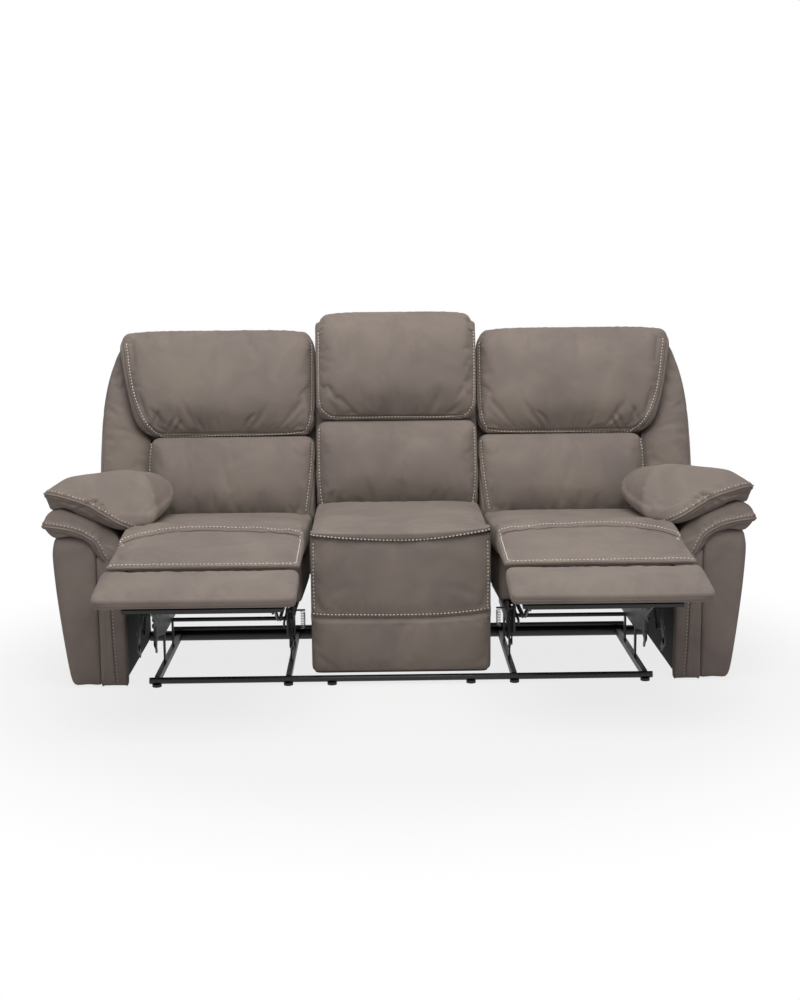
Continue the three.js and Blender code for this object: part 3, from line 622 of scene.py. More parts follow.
@dataclass(frozen=True)
class Carrier:
    """What a piece goes with: one body that it moves with, or two bodies that it lies across without moving."""

    body: str
    second: str = ""
    start: tuple[float, float, float] = (0.0, 0.0, 0.0)
    end: tuple[float, float, float] = (0.0, 0.0, 0.0)

    @property
    def word(self) -> str:
        """The carrier's name for the pieces that it holds."""
        return f"{self.body}_to_{self.second}" if self.second else self.body

    def hold(self, thing: bpy.types.Object) -> None:
        """Make a finished piece move with a carrier of one body; a piece between two bodies only has its place fixed in
        its mesh.

        Args:
            thing: the piece.
        """
        if self.second:
            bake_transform(thing)
        else:
            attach(thing, self.body)


@dataclass(frozen=True)
class Crown:
    """How far each face draws in, in millimetres, from its full middle towards its edges."""

    left: float = 0.0
    right: float = 0.0
    front: float = 0.0
    back: float = 0.0
    bottom: float = 0.0
    top: float = 0.0


@dataclass(frozen=True)
class Puff:
    """How a cover is blown up by the cloth simulation."""

    pressure: float = 4.0
    slack: float = 0.02
    cap_mm: float = 24.0
    stiffness: float = 12.0
    bending: float = 0.4
    reach: float = 1.0


def cube_grid(counts: tuple[int, int, int]) -> tuple[Points, list[tuple[int, ...]]]:
    """Cover the surface of a cube from -1 to 1 with square cells.

    Args:
        counts: the number of cells along each axis.

    Returns:
        The places of the corners and the four corners of each cell, facing out.
    """
    numbers: dict[tuple[int, int, int], int] = {}
    faces = []

    def corner(lattice: tuple[int, int, int]) -> int:
        """The number of a lattice corner, new or known."""
        return numbers.setdefault(lattice, len(numbers))

    for axis in range(3):
        across, up = (axis + 1) % 3, (axis + 2) % 3
        for end in (0, counts[axis]):
            for a in range(counts[across]):
                for b in range(counts[up]):
                    ring = []
                    for da, db in ((0, 0), (1, 0), (1, 1), (0, 1)):
                        lattice = [0, 0, 0]
                        lattice[axis], lattice[across], lattice[up] = end, a + da, b + db
                        ring.append(corner(tuple(lattice)))
                    faces.append(tuple(ring if end else reversed(ring)))
    places = np.array(list(numbers), float)
    return places / np.array(counts) * 2 - 1, faces


def smooth_noise(points: Points, seed: int, wavelength: float) -> Points:
    """A smooth seeded wave field with values from about -1 to 1.

    Args:
        points: places in millimetres.
        seed: picks the waves.
        wavelength: the typical distance between crests, in millimetres.

    Returns:
        One value for each place.
    """
    dice = np.random.RandomState(seed)
    total = np.zeros(len(points))
    waves = 7
    for _ in range(waves):
        direction = dice.normal(size=3)
        direction *= 2 * math.pi / wavelength / np.linalg.norm(direction) * dice.uniform(0.7, 1.4)
        total += np.sin(points @ direction + dice.uniform(0, 2 * math.pi))
    return total / math.sqrt(waves)


def new_mesh_object(name: str, points: Points, faces: Sequence[Sequence[int]], material: bpy.types.Material | None,
                    edges: Sequence[Sequence[int]] = ()) -> bpy.types.Object:
    """Make a smooth-shaded mesh object at the origin.

    Args:
        name: the object's name.
        points: places in the row frame.
        faces: the corners of each face.
        material: its finish.
        edges: loose edges, where it is a line.

    Returns:
        The new object, in the scene.
    """
    mesh = bpy.data.meshes.new(name)
    mesh.from_pydata([tuple(p) for p in points], [tuple(e) for e in edges], [tuple(f) for f in faces])
    mesh.polygons.foreach_set("use_smooth", [True] * len(mesh.polygons))
    mesh.materials.append(material)
    mesh.update()
    thing = bpy.data.objects.new(name, mesh)
    bpy.context.scene.collection.objects.link(thing)
    return thing


def subdivided(points: Points, faces: Sequence[Sequence[int]]) -> tuple[Points, list[list[int]]]:
    """Smooth a closed mesh by one Catmull-Clark subdivision.

    Args:
        points: its corners.
        faces: the corners of each face.

    Returns:
        The finer corners and the corners of each finer face.
    """
    count = len(points)
    sizes = np.array([len(face) for face in faces])
    corners = np.array([corner for face in faces for corner in face])
    starts = np.cumsum(sizes) - sizes
    owner = np.repeat(np.arange(len(faces)), sizes)
    following = np.arange(len(corners)) + 1
    following[starts + sizes - 1] = starts
    middles = np.add.reduceat(points[corners], starts, axis=0) / sizes[:, None]
    ends = np.sort(np.stack([corners, corners[following]], axis=1), axis=1)
    keys, edge_of = np.unique(ends[:, 0] * count + ends[:, 1], return_inverse=True)
    ends = np.stack([keys // count, keys % count], axis=1)
    halves = points[ends].mean(axis=1)

    def gathered(places: np.ndarray, values: Points, total: int) -> Points:
        """The sum of the values at each place."""
        return np.stack([np.bincount(places, values[:, axis], total) for axis in range(3)], axis=1)

    edge_points = (2 * halves + gathered(edge_of, middles[owner], len(keys))) / 4
    valence = np.bincount(corners, minlength=count)[:, None].astype(float)
    face_mean = gathered(corners, middles[owner], count) / valence
    edge_mean = (gathered(ends[:, 0], halves, count) + gathered(ends[:, 1], halves, count)) / valence
    moved = (face_mean + 2 * edge_mean + (valence - 3) * points) / valence
    before = np.empty_like(following)
    before[following] = np.arange(len(corners))
    quads = np.stack([corners, count + edge_of, count + len(keys) + owner, count + edge_of[before]], axis=1)
    return np.concatenate([moved, edge_points, middles]), quads.tolist()


@dataclass
class Cover:
    """A padded piece: drawn, leaned, blown up, smoothed, creased and sewn."""

    name: str
    carrier: Carrier
    nodes: tuple[str, ...] = ()
    side: Side = Side.RIGHT
    leans: tuple[Warp, ...] = ()
    puff: Puff | None = None
    seams: tuple[Seam, ...] = ()
    dents: tuple[Dent, ...] = ()
    fill: float = 0.7
    seed: int = 1

    def layout(self) -> tuple[Points, list[tuple[int, ...]]]:
        """Draw the piece.

        Returns:
            Its corners in drawn millimetres, right-hand and not leaned, and the corners of each face.
        """
        raise NotImplementedError

    def pins(self) -> Points:
        """How firmly each corner is held while the cover is blown up."""
        return np.ones(len(self.drawn))

    def build(self, material: bpy.types.Material) -> "Cover":
        """Make the piece's mesh object.

        Args:
            material: its finish.

        Returns:
            The piece.
        """
        self.material = material
        self.drawn, faces = self.layout()
        self.faces = faces if self.side is Side.RIGHT else [tuple(reversed(face)) for face in faces]
        points = self.drawn
        for lean in self.leans:
            points = lean(points)
        placed = in_row(points)
        placed[:, 0] *= self.side.value
        self.thing = new_mesh_object(self.name, placed, self.faces, material)
        return self

    def held(self, firmness: float = 0.9, width: float = 13.0) -> Points:
        """The pins, with every seam held too, that firmly and that far to each side in millimetres."""
        chart = Chart(self.drawn, self.faces)
        held = self.pins()
        for seam in self.seams:
            line = tuple(map(tuple, seam.line(seam.welt / 2)))
            held = np.maximum(held, firmness * Dent(line, seam.face, width, 1.0, False, 0.0).press(chart))
        return np.clip(held, 0, 1)

    def settle(self) -> None:
        """Smooth the piece and press its grooves and creases in."""
        places, _ = mesh_places(self.thing.data)
        finer, finer_faces = subdivided(places, self.faces)
        drawn, _ = subdivided(self.drawn, self.faces)
        self.chart = Chart(drawn, finer_faces)
        smooth = new_mesh_object(self.name + "_smooth", finer, finer_faces, self.material)
        places, normals = mesh_places(smooth.data)
        creases = [*self.dents, *(dent for seam in self.seams for dent in seam.dents())]
        depth = sum((dent.press(self.chart) for dent in creases), np.zeros(len(places)))
        self.thing.data = smooth.data
        bpy.data.objects.remove(smooth)
        self.thing.data.vertices.foreach_set("co", (places - normals * depth[:, None] * MM).ravel())
        self.thing.data.update()

    def finish(self, sewing: "Sewing") -> None:
        """Sew the seams, hang the piece on its carrier and hide the solids that it covers.

        Args:
            sewing: collects the seams.
        """
        for seam in self.seams:
            sewing.add(self, seam)
        self.carrier.hold(self.thing)
        if self.nodes:
            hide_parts(*self.nodes)
        LOG.info("%s: %d corners, on %s", self.name, len(self.thing.data.vertices), self.carrier.word)


@dataclass
class Pad(Cover):
    """A padded piece made from a gridded cube: rounded, crowned and fitted."""

    low: tuple[float, float, float] = (0.0, 0.0, 0.0)
    high: tuple[float, float, float] = (1.0, 1.0, 1.0)
    rounding: tuple[float, float, float] = (12.0, 12.0, 12.0)
    crown: Crown = Crown()
    cell: float = 11.0
    fits: tuple[Warp, ...] = ()
    pinned: Callable[[Points], Points] | None = None
    unevenness: float = 1.2
    uneven_over: float = 160.0

    def layout(self) -> tuple[Points, list[tuple[int, ...]]]:
        """Round, crown and fit the grid."""
        low, high = np.array(self.low, float), np.array(self.high, float)
        counts = tuple(int(max(4, round(size / self.cell))) for size in high - low)
        self.shares, faces = cube_grid(counts)
        half, reach = (high - low) / 2, np.minimum(np.array(self.rounding, float), (high - low) / 2)
        flat = self.shares * half
        core = np.clip(flat, reach - half, half - reach)
        rim = (flat - core) / reach
        points = core + rim / np.maximum(np.linalg.norm(rim, axis=1, keepdims=True), 1e-9) * reach
        points += self.crown_moves() + (low + high) / 2
        points[:, 1] += self.unevenness * smooth_noise(points, self.seed, self.uneven_over) * (1 - self.pins())
        for fit in self.fits:
            points = fit(points)
        return points, faces

    def crown_moves(self) -> Points:
        """How far the crown draws each corner in."""
        x, y, z = self.shares.T
        fullness = np.stack([(1 - y ** 2) * (1 - z ** 2), (1 - x ** 4) * (1 - z ** 2), (1 - x ** 4) * (1 - y ** 2)], 1)
        lows = np.array([self.crown.left, self.crown.front, self.crown.bottom])
        highs = np.array([self.crown.right, self.crown.back, self.crown.top])
        drawn = np.where(self.shares < 0, lows, -highs)
        return drawn * (1 - fullness) * self.shares ** 2

    def pins(self) -> Points:
        """How firmly each corner is held while the cover is blown up."""
        if self.pinned is None:
            return np.ones(len(self.shares))
        return np.clip(self.pinned(self.shares), 0, 1)


def blow_up(covers: Sequence[Cover], steps: int = 20, quality: int = 4, mass: float = 0.3) -> None:
    """Blow up every cover that has a puff, all in one run of the cloth simulation.

    Args:
        covers: the covers, built and not yet smoothed.
        steps: the frames that the simulation runs for.
        quality: its steps in each frame.
        mass: the mass of each corner, in kilograms.
    """
    scene = bpy.context.scene
    live = [cover for cover in covers if cover.puff]
    for cover in live:
        group = cover.thing.vertex_groups.new(name="held")
        for number, weight in enumerate(cover.held()):
            group.add([number], float(weight), "REPLACE")
        cloth = cover.thing.modifiers.new("Blow up", "CLOTH")
        settings = cloth.settings
        settings.quality = quality
        settings.mass = mass
        settings.tension_stiffness = settings.compression_stiffness = cover.puff.stiffness
        settings.shear_stiffness = cover.puff.stiffness / 2
        settings.bending_stiffness = cover.puff.bending
        settings.use_pressure = True
        settings.uniform_pressure_force = cover.puff.pressure
        settings.vertex_group_mass = "held"
        settings.shrink_min = -cover.puff.slack
        settings.effector_weights.gravity = 0
        cloth.collision_settings.use_collision = False
        cloth.point_cache.frame_start = 1
        cloth.point_cache.frame_end = steps
    for step in range(1, steps + 1):
        scene.frame_set(step)
    graph = bpy.context.evaluated_depsgraph_get()
    for cover in live:
        before, _ = mesh_places(cover.thing.data)
        after, _ = mesh_places(cover.thing.evaluated_get(graph).data)
        move = (after - before) * cover.puff.reach
        reach = np.linalg.norm(move, axis=1, keepdims=True)
        cap = cover.puff.cap_mm * MM
        LOG.info("%s blown up by up to %.1f mm before its cap", cover.name, reach.max() / MM)
        move *= cap * np.tanh(reach / cap) / np.maximum(reach, 1e-9)
        cover.thing.modifiers.clear()
        cover.thing.vertex_groups.clear()
        cover.thing.data.vertices.foreach_set("co", (before + move).ravel())
        cover.thing.data.update()
    scene.frame_set(1)


# Seams


class ShapeTree:
    """A Geometry Nodes tree that turns drawn lines or points into one plain mesh."""

    inputs: tuple[str, ...] = ()

    def __init__(self, name: str, material: bpy.types.Material) -> None:
        """Build the tree.

        Args:
            name: the tree's name.
            material: what its shapes are made of.
        """
        self.material = material
        self.tree = bpy.data.node_groups.new(name, "GeometryNodeTree")
        face = self.tree.interface
        face.new_socket("Drawn", in_out="INPUT", socket_type="NodeSocketGeometry")
        for word in self.inputs:
            face.new_socket(word, in_out="INPUT", socket_type="NodeSocketFloat")
        face.new_socket("Shape", in_out="OUTPUT", socket_type="NodeSocketGeometry")
        made = self.shape(add_node(self.tree, "NodeGroupInput"))
        real = add_node(self.tree, "GeometryNodeRealizeInstances", links={"Geometry": made})
        dressed = add_node(self.tree, "GeometryNodeSetMaterial", {"Material": material},
                           {"Geometry": real.outputs["Geometry"]})
        add_node(self.tree, "NodeGroupOutput", links={"Shape": dressed.outputs["Geometry"]})

    def shape(self, start: bpy.types.Node) -> bpy.types.NodeSocket:
        """Build what the tree makes of its input.

        Args:
            start: the tree's input node.

        Returns:
            The socket with the shapes.
        """
        raise NotImplementedError

    def evenly(self, start: bpy.types.Node) -> bpy.types.NodeSocket:
        """Turn the drawn lines into curves with a place at each pitch."""
        curve = add_node(self.tree, "GeometryNodeMeshToCurve", links={"Mesh": start.outputs["Drawn"]})
        spaced = add_node(self.tree, "GeometryNodeResampleCurve", {"mode": "LENGTH"},
                          {"Curve": curve.outputs["Curve"], "Length": start.outputs["Pitch"]})
        return spaced.outputs["Curve"]

    def balls(self, start: bpy.types.Node, settings: dict, axes: Sequence[str]) -> bpy.types.NodeSocket:
        """Shape a ball by the tree's inputs.

        Args:
            start: the tree's input node.
            settings: the ball's segments, rings and radius.
            axes: the inputs that scale it along X, Y and Z.

        Returns:
            The socket with the shaped ball.
        """
        ball = add_node(self.tree, "GeometryNodeMeshUVSphere", settings)
        size = add_node(self.tree, "ShaderNodeCombineXYZ",
                        links={axis: start.outputs[word] for axis, word in enumerate(axes)})
        shaped = add_node(self.tree, "GeometryNodeTransform",
                          links={"Geometry": ball.outputs["Mesh"], "Scale": size.outputs["Vector"]})
        return shaped.outputs["Geometry"]

    def apply(self, name: str, points: Points, edges: Sequence[Sequence[int]],
              sizes: dict[str, float]) -> bpy.types.Object:
        """Make one plain mesh object.

        Args:
            name: the new object's name.
            points: drawn places, in the row frame.
            edges: which of them are joined to lines.
            sizes: values for the tree's named inputs, in metres.

        Returns:
            The finished mesh object.
        """
        source = new_mesh_object(name + "_drawn", points, [], self.material, edges)
        modifier = source.modifiers.new("Shape", "NODES")
        modifier.node_group = self.tree
        for item in self.tree.interface.items_tree:
            if item.name in sizes and item.in_out == "INPUT":
                modifier[item.identifier] = sizes[item.name]
        graph = bpy.context.evaluated_depsgraph_get()
        mesh = bpy.data.meshes.new_from_object(source.evaluated_get(graph), depsgraph=graph)
        bpy.data.objects.remove(source)
        mesh.polygons.foreach_set("use_smooth", [True] * len(mesh.polygons))
        thing = bpy.data.objects.new(name, mesh)
        bpy.context.scene.collection.objects.link(thing)
        return thing


class StitchTree(ShapeTree):
    """Sets one round-ended stitch at each pitch along the lines."""

    inputs = ("Pitch", "Length", "Thickness")

    def shape(self, start: bpy.types.Node) -> bpy.types.NodeSocket:
        """Put stretched balls along the lines."""
        stitch = self.balls(start, {"Segments": 6, "Rings": 4, "Radius": 0.5}, ("Thickness", "Thickness", "Length"))
        along = add_node(self.tree, "GeometryNodeInputTangent")
        turn = add_node(self.tree, "FunctionNodeAlignRotationToVector", {"axis": "Z"},
                        {"Vector": along.outputs["Tangent"]})
        placed = add_node(self.tree, "GeometryNodeInstanceOnPoints",
                          links={"Points": self.evenly(start), "Instance": stitch,
                                 "Rotation": turn.outputs["Rotation"]})
        return placed.outputs["Instances"]


class WeltTree(ShapeTree):
    """Sweeps a round welt along the lines."""

    inputs = ("Pitch", "Thickness")

    def shape(self, start: bpy.types.Node) -> bpy.types.NodeSocket:
        """Sweep a round section along the lines."""
        half = add_node(self.tree, "ShaderNodeMath", {"operation": "MULTIPLY", 1: 0.5},
                        {0: start.outputs["Thickness"]})
        ring = add_node(self.tree, "GeometryNodeCurvePrimitiveCircle", {"Resolution": 8},
                        {"Radius": half.outputs["Value"]})
        swept = add_node(self.tree, "GeometryNodeCurveToMesh", {"Fill Caps": True},
                         {"Curve": self.evenly(start), "Profile Curve": ring.outputs["Curve"]})
        smooth = add_node(self.tree, "GeometryNodeSetShadeSmooth", links={"Geometry": swept.outputs["Mesh"]})
        return smooth.outputs["Geometry"]


class RivetTree(ShapeTree):
    """Sets a domed rivet head on each point."""

    inputs = ("Radius", "Height")

    def shape(self, start: bpy.types.Node) -> bpy.types.NodeSocket:
        """Put flattened balls on the points."""
        points = add_node(self.tree, "GeometryNodeMeshToPoints", links={"Mesh": start.outputs["Drawn"]})
        dome = self.balls(start, {"Segments": 16, "Rings": 8, "Radius": 1.0}, ("Height", "Radius", "Radius"))
        placed = add_node(self.tree, "GeometryNodeInstanceOnPoints",
                          links={"Points": points.outputs["Points"], "Instance": dome})
        return placed.outputs["Instances"]


@dataclass
class Sewing:
    """Collects the seams of each carrier and sews them all at the end; sizes are in millimetres."""

    finishes: Finishes
    pitch: float = 10.8
    stitch: float = 6.8
    thread: float = 4.2
    thread_lift: float = 0.35  # of its thickness, above the cover
    welt: float = 6.4
    welt_step: float = 7.0
    rows: dict[Carrier, list[Points]] = field(default_factory=dict)
    welts: dict[Carrier, list[Points]] = field(default_factory=dict)

    def add(self, cover: Cover, seam: Seam) -> None:
        """Trace a seam on its finished cover.

        Args:
            cover: the cover, with its grooves pressed in.
            seam: the seam as drawn.
        """
        for away in seam.rows:
            places, normals = cover.chart.trace(cover.thing.data, seam.line(away), seam.face)
            self.rows.setdefault(cover.carrier, []).append(places + normals * self.thread * self.thread_lift * MM)
        if seam.welt:
            places, normals = cover.chart.trace(cover.thing.data, seam.line(seam.welt), seam.face)
            self.welts.setdefault(cover.carrier, []).append(places - normals * seam.sink * MM)

    def sew(self) -> None:
        """Make every carrier's stitches and welts."""
        stitches = StitchTree("stitch_rows", self.finishes.thread)
        welts = WeltTree("welt_folds", self.finishes.cover)
        stitch_sizes = {"Pitch": self.pitch * MM, "Length": self.stitch * MM, "Thickness": self.thread * MM}
        welt_sizes = {"Pitch": self.welt_step * MM, "Thickness": self.welt * MM}
        for word, tree, sizes, collected in (("stitches", stitches, stitch_sizes, self.rows),
                                             ("welts", welts, welt_sizes, self.welts)):
            for carrier, lines in collected.items():
                starts = np.cumsum([0] + [len(line) for line in lines])
                edges = [(start + k, start + k + 1) for start, line in zip(starts, lines)
                         for k in range(len(line) - 1)]
                thing = tree.apply(f"{carrier.word}_{word}", np.vstack(lines), edges, sizes)
                carrier.hold(thing)
                LOG.info("%s: %d lines", thing.name, len(lines))


# Leaning and fitting


@dataclass(frozen=True)
class SeatLean:
    """The lean of an open end seat about its tilt pin."""

    degrees: float = 5.0

    def __call__(self, points: Points) -> Points:
        """Turn drawn places from the upright seat to the leaning one."""
        pin_y, pin_z = (TILT_PIN[1] - ROW_SHIFT) / MM, TILT_PIN[2] / MM
        angle = math.radians(-self.degrees)
        y, z = points[:, 1] - pin_y, points[:, 2] - pin_z
        turned = points.copy()
        turned[:, 1] = pin_y + y * math.cos(angle) - z * math.sin(angle)
        turned[:, 2] = pin_z + z * math.cos(angle) + y * math.sin(angle)
        return turned


@dataclass(frozen=True)
class BackSlope:
    """The slope of every back, about the height where headrest and lumbar pads meet."""

    split: float = 735.0
    degrees: float = 12.0

    def __call__(self, points: Points) -> Points:
        """Slope drawn places back by their height."""
        sloped = points.copy()
        sloped[:, 1] += (points[:, 2] - self.split) * math.tan(math.radians(self.degrees))
        return sloped


@dataclass(frozen=True)
class TuckUnder:
    """The front of a back pad rolls under towards its foot."""

    start: float
    foot: float
    depth: float
    back: float = 688.0
    front: float = 560.0

    def __call__(self, points: Points) -> Points:
        """Draw the foot of the front face back."""
        tucked = points.copy()
        share = np.clip((self.start - points[:, 2]) / (self.start - self.foot), 0, 1) ** 1.7
        fore = np.clip((self.back - points[:, 1]) / (self.back - self.front), 0, 1)
        tucked[:, 1] += self.depth * share * fore
        return tucked


class Held(Enum):
    """The face of a pad that stays while its cover is blown up: its axis and its end."""

    REAR = (1, 1)
    BASE = (2, -1)


@dataclass(frozen=True)
class Hold:
    """Pins that hold one face of a pad and the rim of the face across from it, which is free."""

    held: Held
    reach: float = 0.08
    start: float = -0.85
    rise: float = 0.35

    def __call__(self, shares: Points) -> Points:
        """One weight for each corner."""
        axis, end = self.held.value
        face = np.clip((end * shares[:, axis] - self.start) / self.rise, 0, 1)
        others = [other for other in range(3) if other != axis]
        rim = np.clip((np.abs(shares[:, others]).max(1) - (1 - self.reach)) / self.reach, 0, 1)
        return np.maximum(face, rim)


# Backs


@dataclass
class BackPads:
    """The headrest and lumbar pads of one seat."""

    body: str
    names: str
    side: Side = Side.RIGHT
    inner: float = -271.5
    lumbar_outer: float = 271.5
    head_low: float = 271.5
    head_top: float = 271.5
    top: float = 1098.0
    split: float = 735.0
    lumbar_front: float = 560.0
    head_front: float = 566.0
    pad_back: float = 688.0
    lumbar_low: float = 436.0
    lean: tuple[Warp, ...] = ()
    seed: int = 11
    head_stitch: tuple[tuple[float, float], ...] = (
        (-261, 1030), (-262, 993), (-262, 811), (-240, 766), (-190, 748), (11, 747), (205, 748), (251, 778),
        (264, 830), (266, 987), (265, 1030))
    lumbar_stitches: tuple[tuple[tuple[float, float], ...], ...] = (
        ((-261, 712), (-263, 640), (-261, 540), (-252, 470)), ((261, 712), (263, 640), (261, 540), (252, 470)))
    head_creases: tuple[Dent, ...] = ()

    def head_edge(self, z: Points) -> Points:
        """The headrest's outer edge at a height: wide at the top, narrow at its foot."""
        rise = np.clip((z - self.split) / (self.top - self.split), 0, 1)
        return self.head_low + (self.head_top - self.head_low) * np.sqrt(rise)

    def narrow(self, points: Points) -> Points:
        """Fit a drawn headrest to its sloping outer edge, and round its top corners."""
        fitted = points.copy()
        share = (points[:, 0] - self.inner) / (self.head_top - self.inner)
        fitted[:, 0] = self.inner + share * (self.head_edge(points[:, 2]) - self.inner)
        rise = np.clip((points[:, 2] - self.split) / (self.top - self.split), 0, 1)
        fitted[:, 2] -= 16 * np.abs(2 * share - 1) ** 7 * rise ** 3
        return fitted

    def corner_gathers(self) -> tuple[Dent, ...]:
        """Short folds where the headrest's cover turns over its top corners."""
        (inner_x, inner_z), (outer_x, outer_z) = self.head_stitch[0], self.head_stitch[-1]
        if inner_x > outer_x:
            inner_x, inner_z, outer_x, outer_z = outer_x, outer_z, inner_x, inner_z
        left = gathers((inner_x + 4, inner_z - 14), (inner_x + 10, inner_z + 26), (34, 14), 3, self.seed, depth=3.6)
        right = gathers((outer_x - 4, outer_z - 6), (outer_x - 12, outer_z + 34), (-38, 20), 3, self.seed + 3, depth=3.8)
        return left + right

    def build(self) -> list[Cover]:
        """Draw the pads.

        Returns:
            The pads.
        """
        slope, carrier = BackSlope(self.split), Carrier(self.body)
        centre = ((self.inner + self.lumbar_outer) / 2, 600.0)
        tucks = gathers((self.inner + 30, 470), (self.inner + 90, 462), (30, 60), 2, self.seed + 7, width=9.0, depth=3.0)
        lumbar = Pad(
            f"{self.names}_lumbar_cover", carrier, (f"{self.names}_lumbar_pad",), self.side, (slope, *self.lean),
            Puff(cap_mm=24), tuple(Seam(stitch, centre) for stitch in self.lumbar_stitches), tucks,
            fill=0.75, seed=self.seed, low=(self.inner, self.lumbar_front + 10, self.lumbar_low),
            high=(self.lumbar_outer, self.pad_back, self.split - 1), rounding=(34, 46, 34),
            crown=Crown(front=9, left=2, right=2), fits=(TuckUnder(560, self.lumbar_low, 34),), pinned=Hold(Held.REAR))
        head = Pad(
            f"{self.names}_headrest_cover", carrier, (f"{self.names}_headrest_pad",), self.side, (slope, *self.lean),
            Puff(cap_mm=26, slack=0.03), (Seam(self.head_stitch, (centre[0], 960.0)),),
            self.head_creases + self.corner_gathers(), fill=0.8, seed=self.seed + 1,
            low=(self.inner, self.head_front + 12, self.split + 1), high=(self.head_top, self.pad_back, self.top),
            rounding=(40, 48, 62), crown=Crown(front=9, left=2, right=2, top=5), cell=10.0,
            fits=(self.narrow, TuckUnder(850, self.split, 26)), pinned=self.head_pins)
        return [lumbar, head]

    @staticmethod
    def head_pins(shares: Points) -> Points:
        """Hold the headrest's rear and its sewn sides and foot; its top is free."""
        rear = np.clip((shares[:, 1] + 0.2) / 0.6, 0, 1)
        sides = np.clip((np.abs(shares[:, 0]) - 0.95) / 0.05, 0, 1)
        foot = np.clip((-0.92 - shares[:, 2]) / 0.05, 0, 1)
        return np.maximum.reduce([rear, sides, foot])


def end_back(side: Side) -> BackPads:
    """The back pads of a reclining seat.

    Args:
        side: which end of the sofa.

    Returns:
        The pads, sized for an end seat.
    """
    creases = tuple(Dent(knots, width=6.0, depth=5.2) for knots in (
        ((832, 764), (815, 800), (796, 832)), ((782, 742), (764, 778), (744, 808)),
        ((756, 744), (742, 768), (725, 792)), ((520, 752), (505, 790), (478, 815))))
    return BackPads(
        f"{side.word}_back", side.word, side, inner=276.5, lumbar_outer=838.0, head_low=850.0, head_top=955.0,
        top=1100.0, lean=(SeatLean(),), seed=15,
        head_stitch=((918, 1052), (913, 1020), (906, 968), (891, 893), (865, 818), (838, 772), (812, 748),
                     (780, 738), (618, 740), (345, 744), (306, 764), (291, 810), (288, 900), (287, 1046)),
        lumbar_stitches=(((832, 712), (837, 646), (831, 596), (810, 539), (790, 490)),
                         ((286, 712), (294, 606), (309, 490))),
        head_creases=creases)


@dataclass
class BackShell:
    """The covered frame behind the pads of one seat."""

    body: str
    names: str
    side: Side = Side.RIGHT
    inner: float = -275.6
    outline: tuple[tuple[float, float], ...] = ((391.6, 275.6), (1062.0, 275.6))
    front: float = 688.3
    depth: float = 74.0
    lean: tuple[Warp, ...] = ()
    welt_inset: float = 16.0

    def follow(self, points: Points) -> Points:
        """Draw the frame in to its outline, which narrows towards the top."""
        fitted = points.copy()
        edge = np.interp(points[:, 2], *zip(*self.outline))
        widest = self.outline[0][1]
        fitted[:, 0] = self.inner + (points[:, 0] - self.inner) * (edge - self.inner) / (widest - self.inner)
        return fitted

    def build(self) -> list[Cover]:
        """Draw the shell with a welt round its rear panel."""
        low, high, outer = self.outline[0][0], self.outline[-1][0], self.outline[0][1]
        inset = self.welt_inset
        ring = [(self.inner + inset, high - inset), (self.inner + inset, low + inset), (outer - inset, low + inset)]
        ring += [(edge - inset, min(z, high - inset)) for z, edge in self.outline[1:]]
        runs = [np.linspace(a, b, 14, endpoint=False) for a, b in zip(ring, ring[1:] + ring[:1])]
        dense = np.vstack([*runs, [ring[0]]])
        seam = Seam(tuple(map(tuple, dense)), ((self.inner + outer) / 2, (low + high) / 2), Face.REAR, rows=(),
                    welt=0.01, sink=1.0, groove=1.5, groove_away=5.0)
        return [Pad(
            f"{self.names}_back_cover", Carrier(self.body), (f"{self.names}_back_frame",), self.side,
            (BackSlope(), *self.lean), None, (seam,), fill=0.4, seed=3, low=(self.inner, self.front, low),
            high=(outer, self.front + self.depth, high), rounding=(4, 14, 14), crown=Crown(back=7), cell=18.0,
            fits=(self.follow,), unevenness=0)]


@dataclass
class BackWing:
    """The padded outer edge of an end seat's back."""

    side: Side
    pads: BackPads
    inner: float = 842.0
    outer: float = 1014.0
    front: float = 640.0
    back: float = 690.0
    low: float = 430.0
    high: float = 1034.0
    round_share: float = 0.8

    def follow_headrest(self, points: Points) -> Points:
        """Fit the wing between the headrest's edge and its own round outline."""
        rise = np.clip((points[:, 2] - self.low) / (self.high - 4 - self.low), 0, 1)
        inner = np.where(points[:, 2] > self.pads.split, self.pads.head_edge(points[:, 2]) - 6, self.inner)
        room = (self.outer - inner) * (1 - self.round_share * rise ** 6)
        fitted = points.copy()
        fitted[:, 0] = inner + (points[:, 0] - self.inner) * room / (self.outer - self.inner)
        return fitted

    def build(self) -> list[Cover]:
        """Draw the wing with the fine seam near its outline."""
        knots = ((996, 470), (1000, 625), (1003, 800), (996, 881), (981, 950), (960, 1000))
        seam = Seam(knots, (900.0, 700.0), rows=(), welt=0.01, sink=2.2, groove=1.6, groove_away=4.0)
        word = self.side.word
        return [Pad(
            f"{word}_wing_cover", Carrier(f"{word}_back"), (f"{word}_back_wing",), self.side,
            (BackSlope(), SeatLean()), Puff(cap_mm=12), (seam,), fill=0.6, seed=31,
            low=(self.inner, self.front + 4, self.low), high=(self.outer, self.back, self.high),
            rounding=(24, 24, 24), crown=Crown(front=8), fits=(self.follow_headrest,), pinned=Hold(Held.REAR, 0.12))]


# End seats


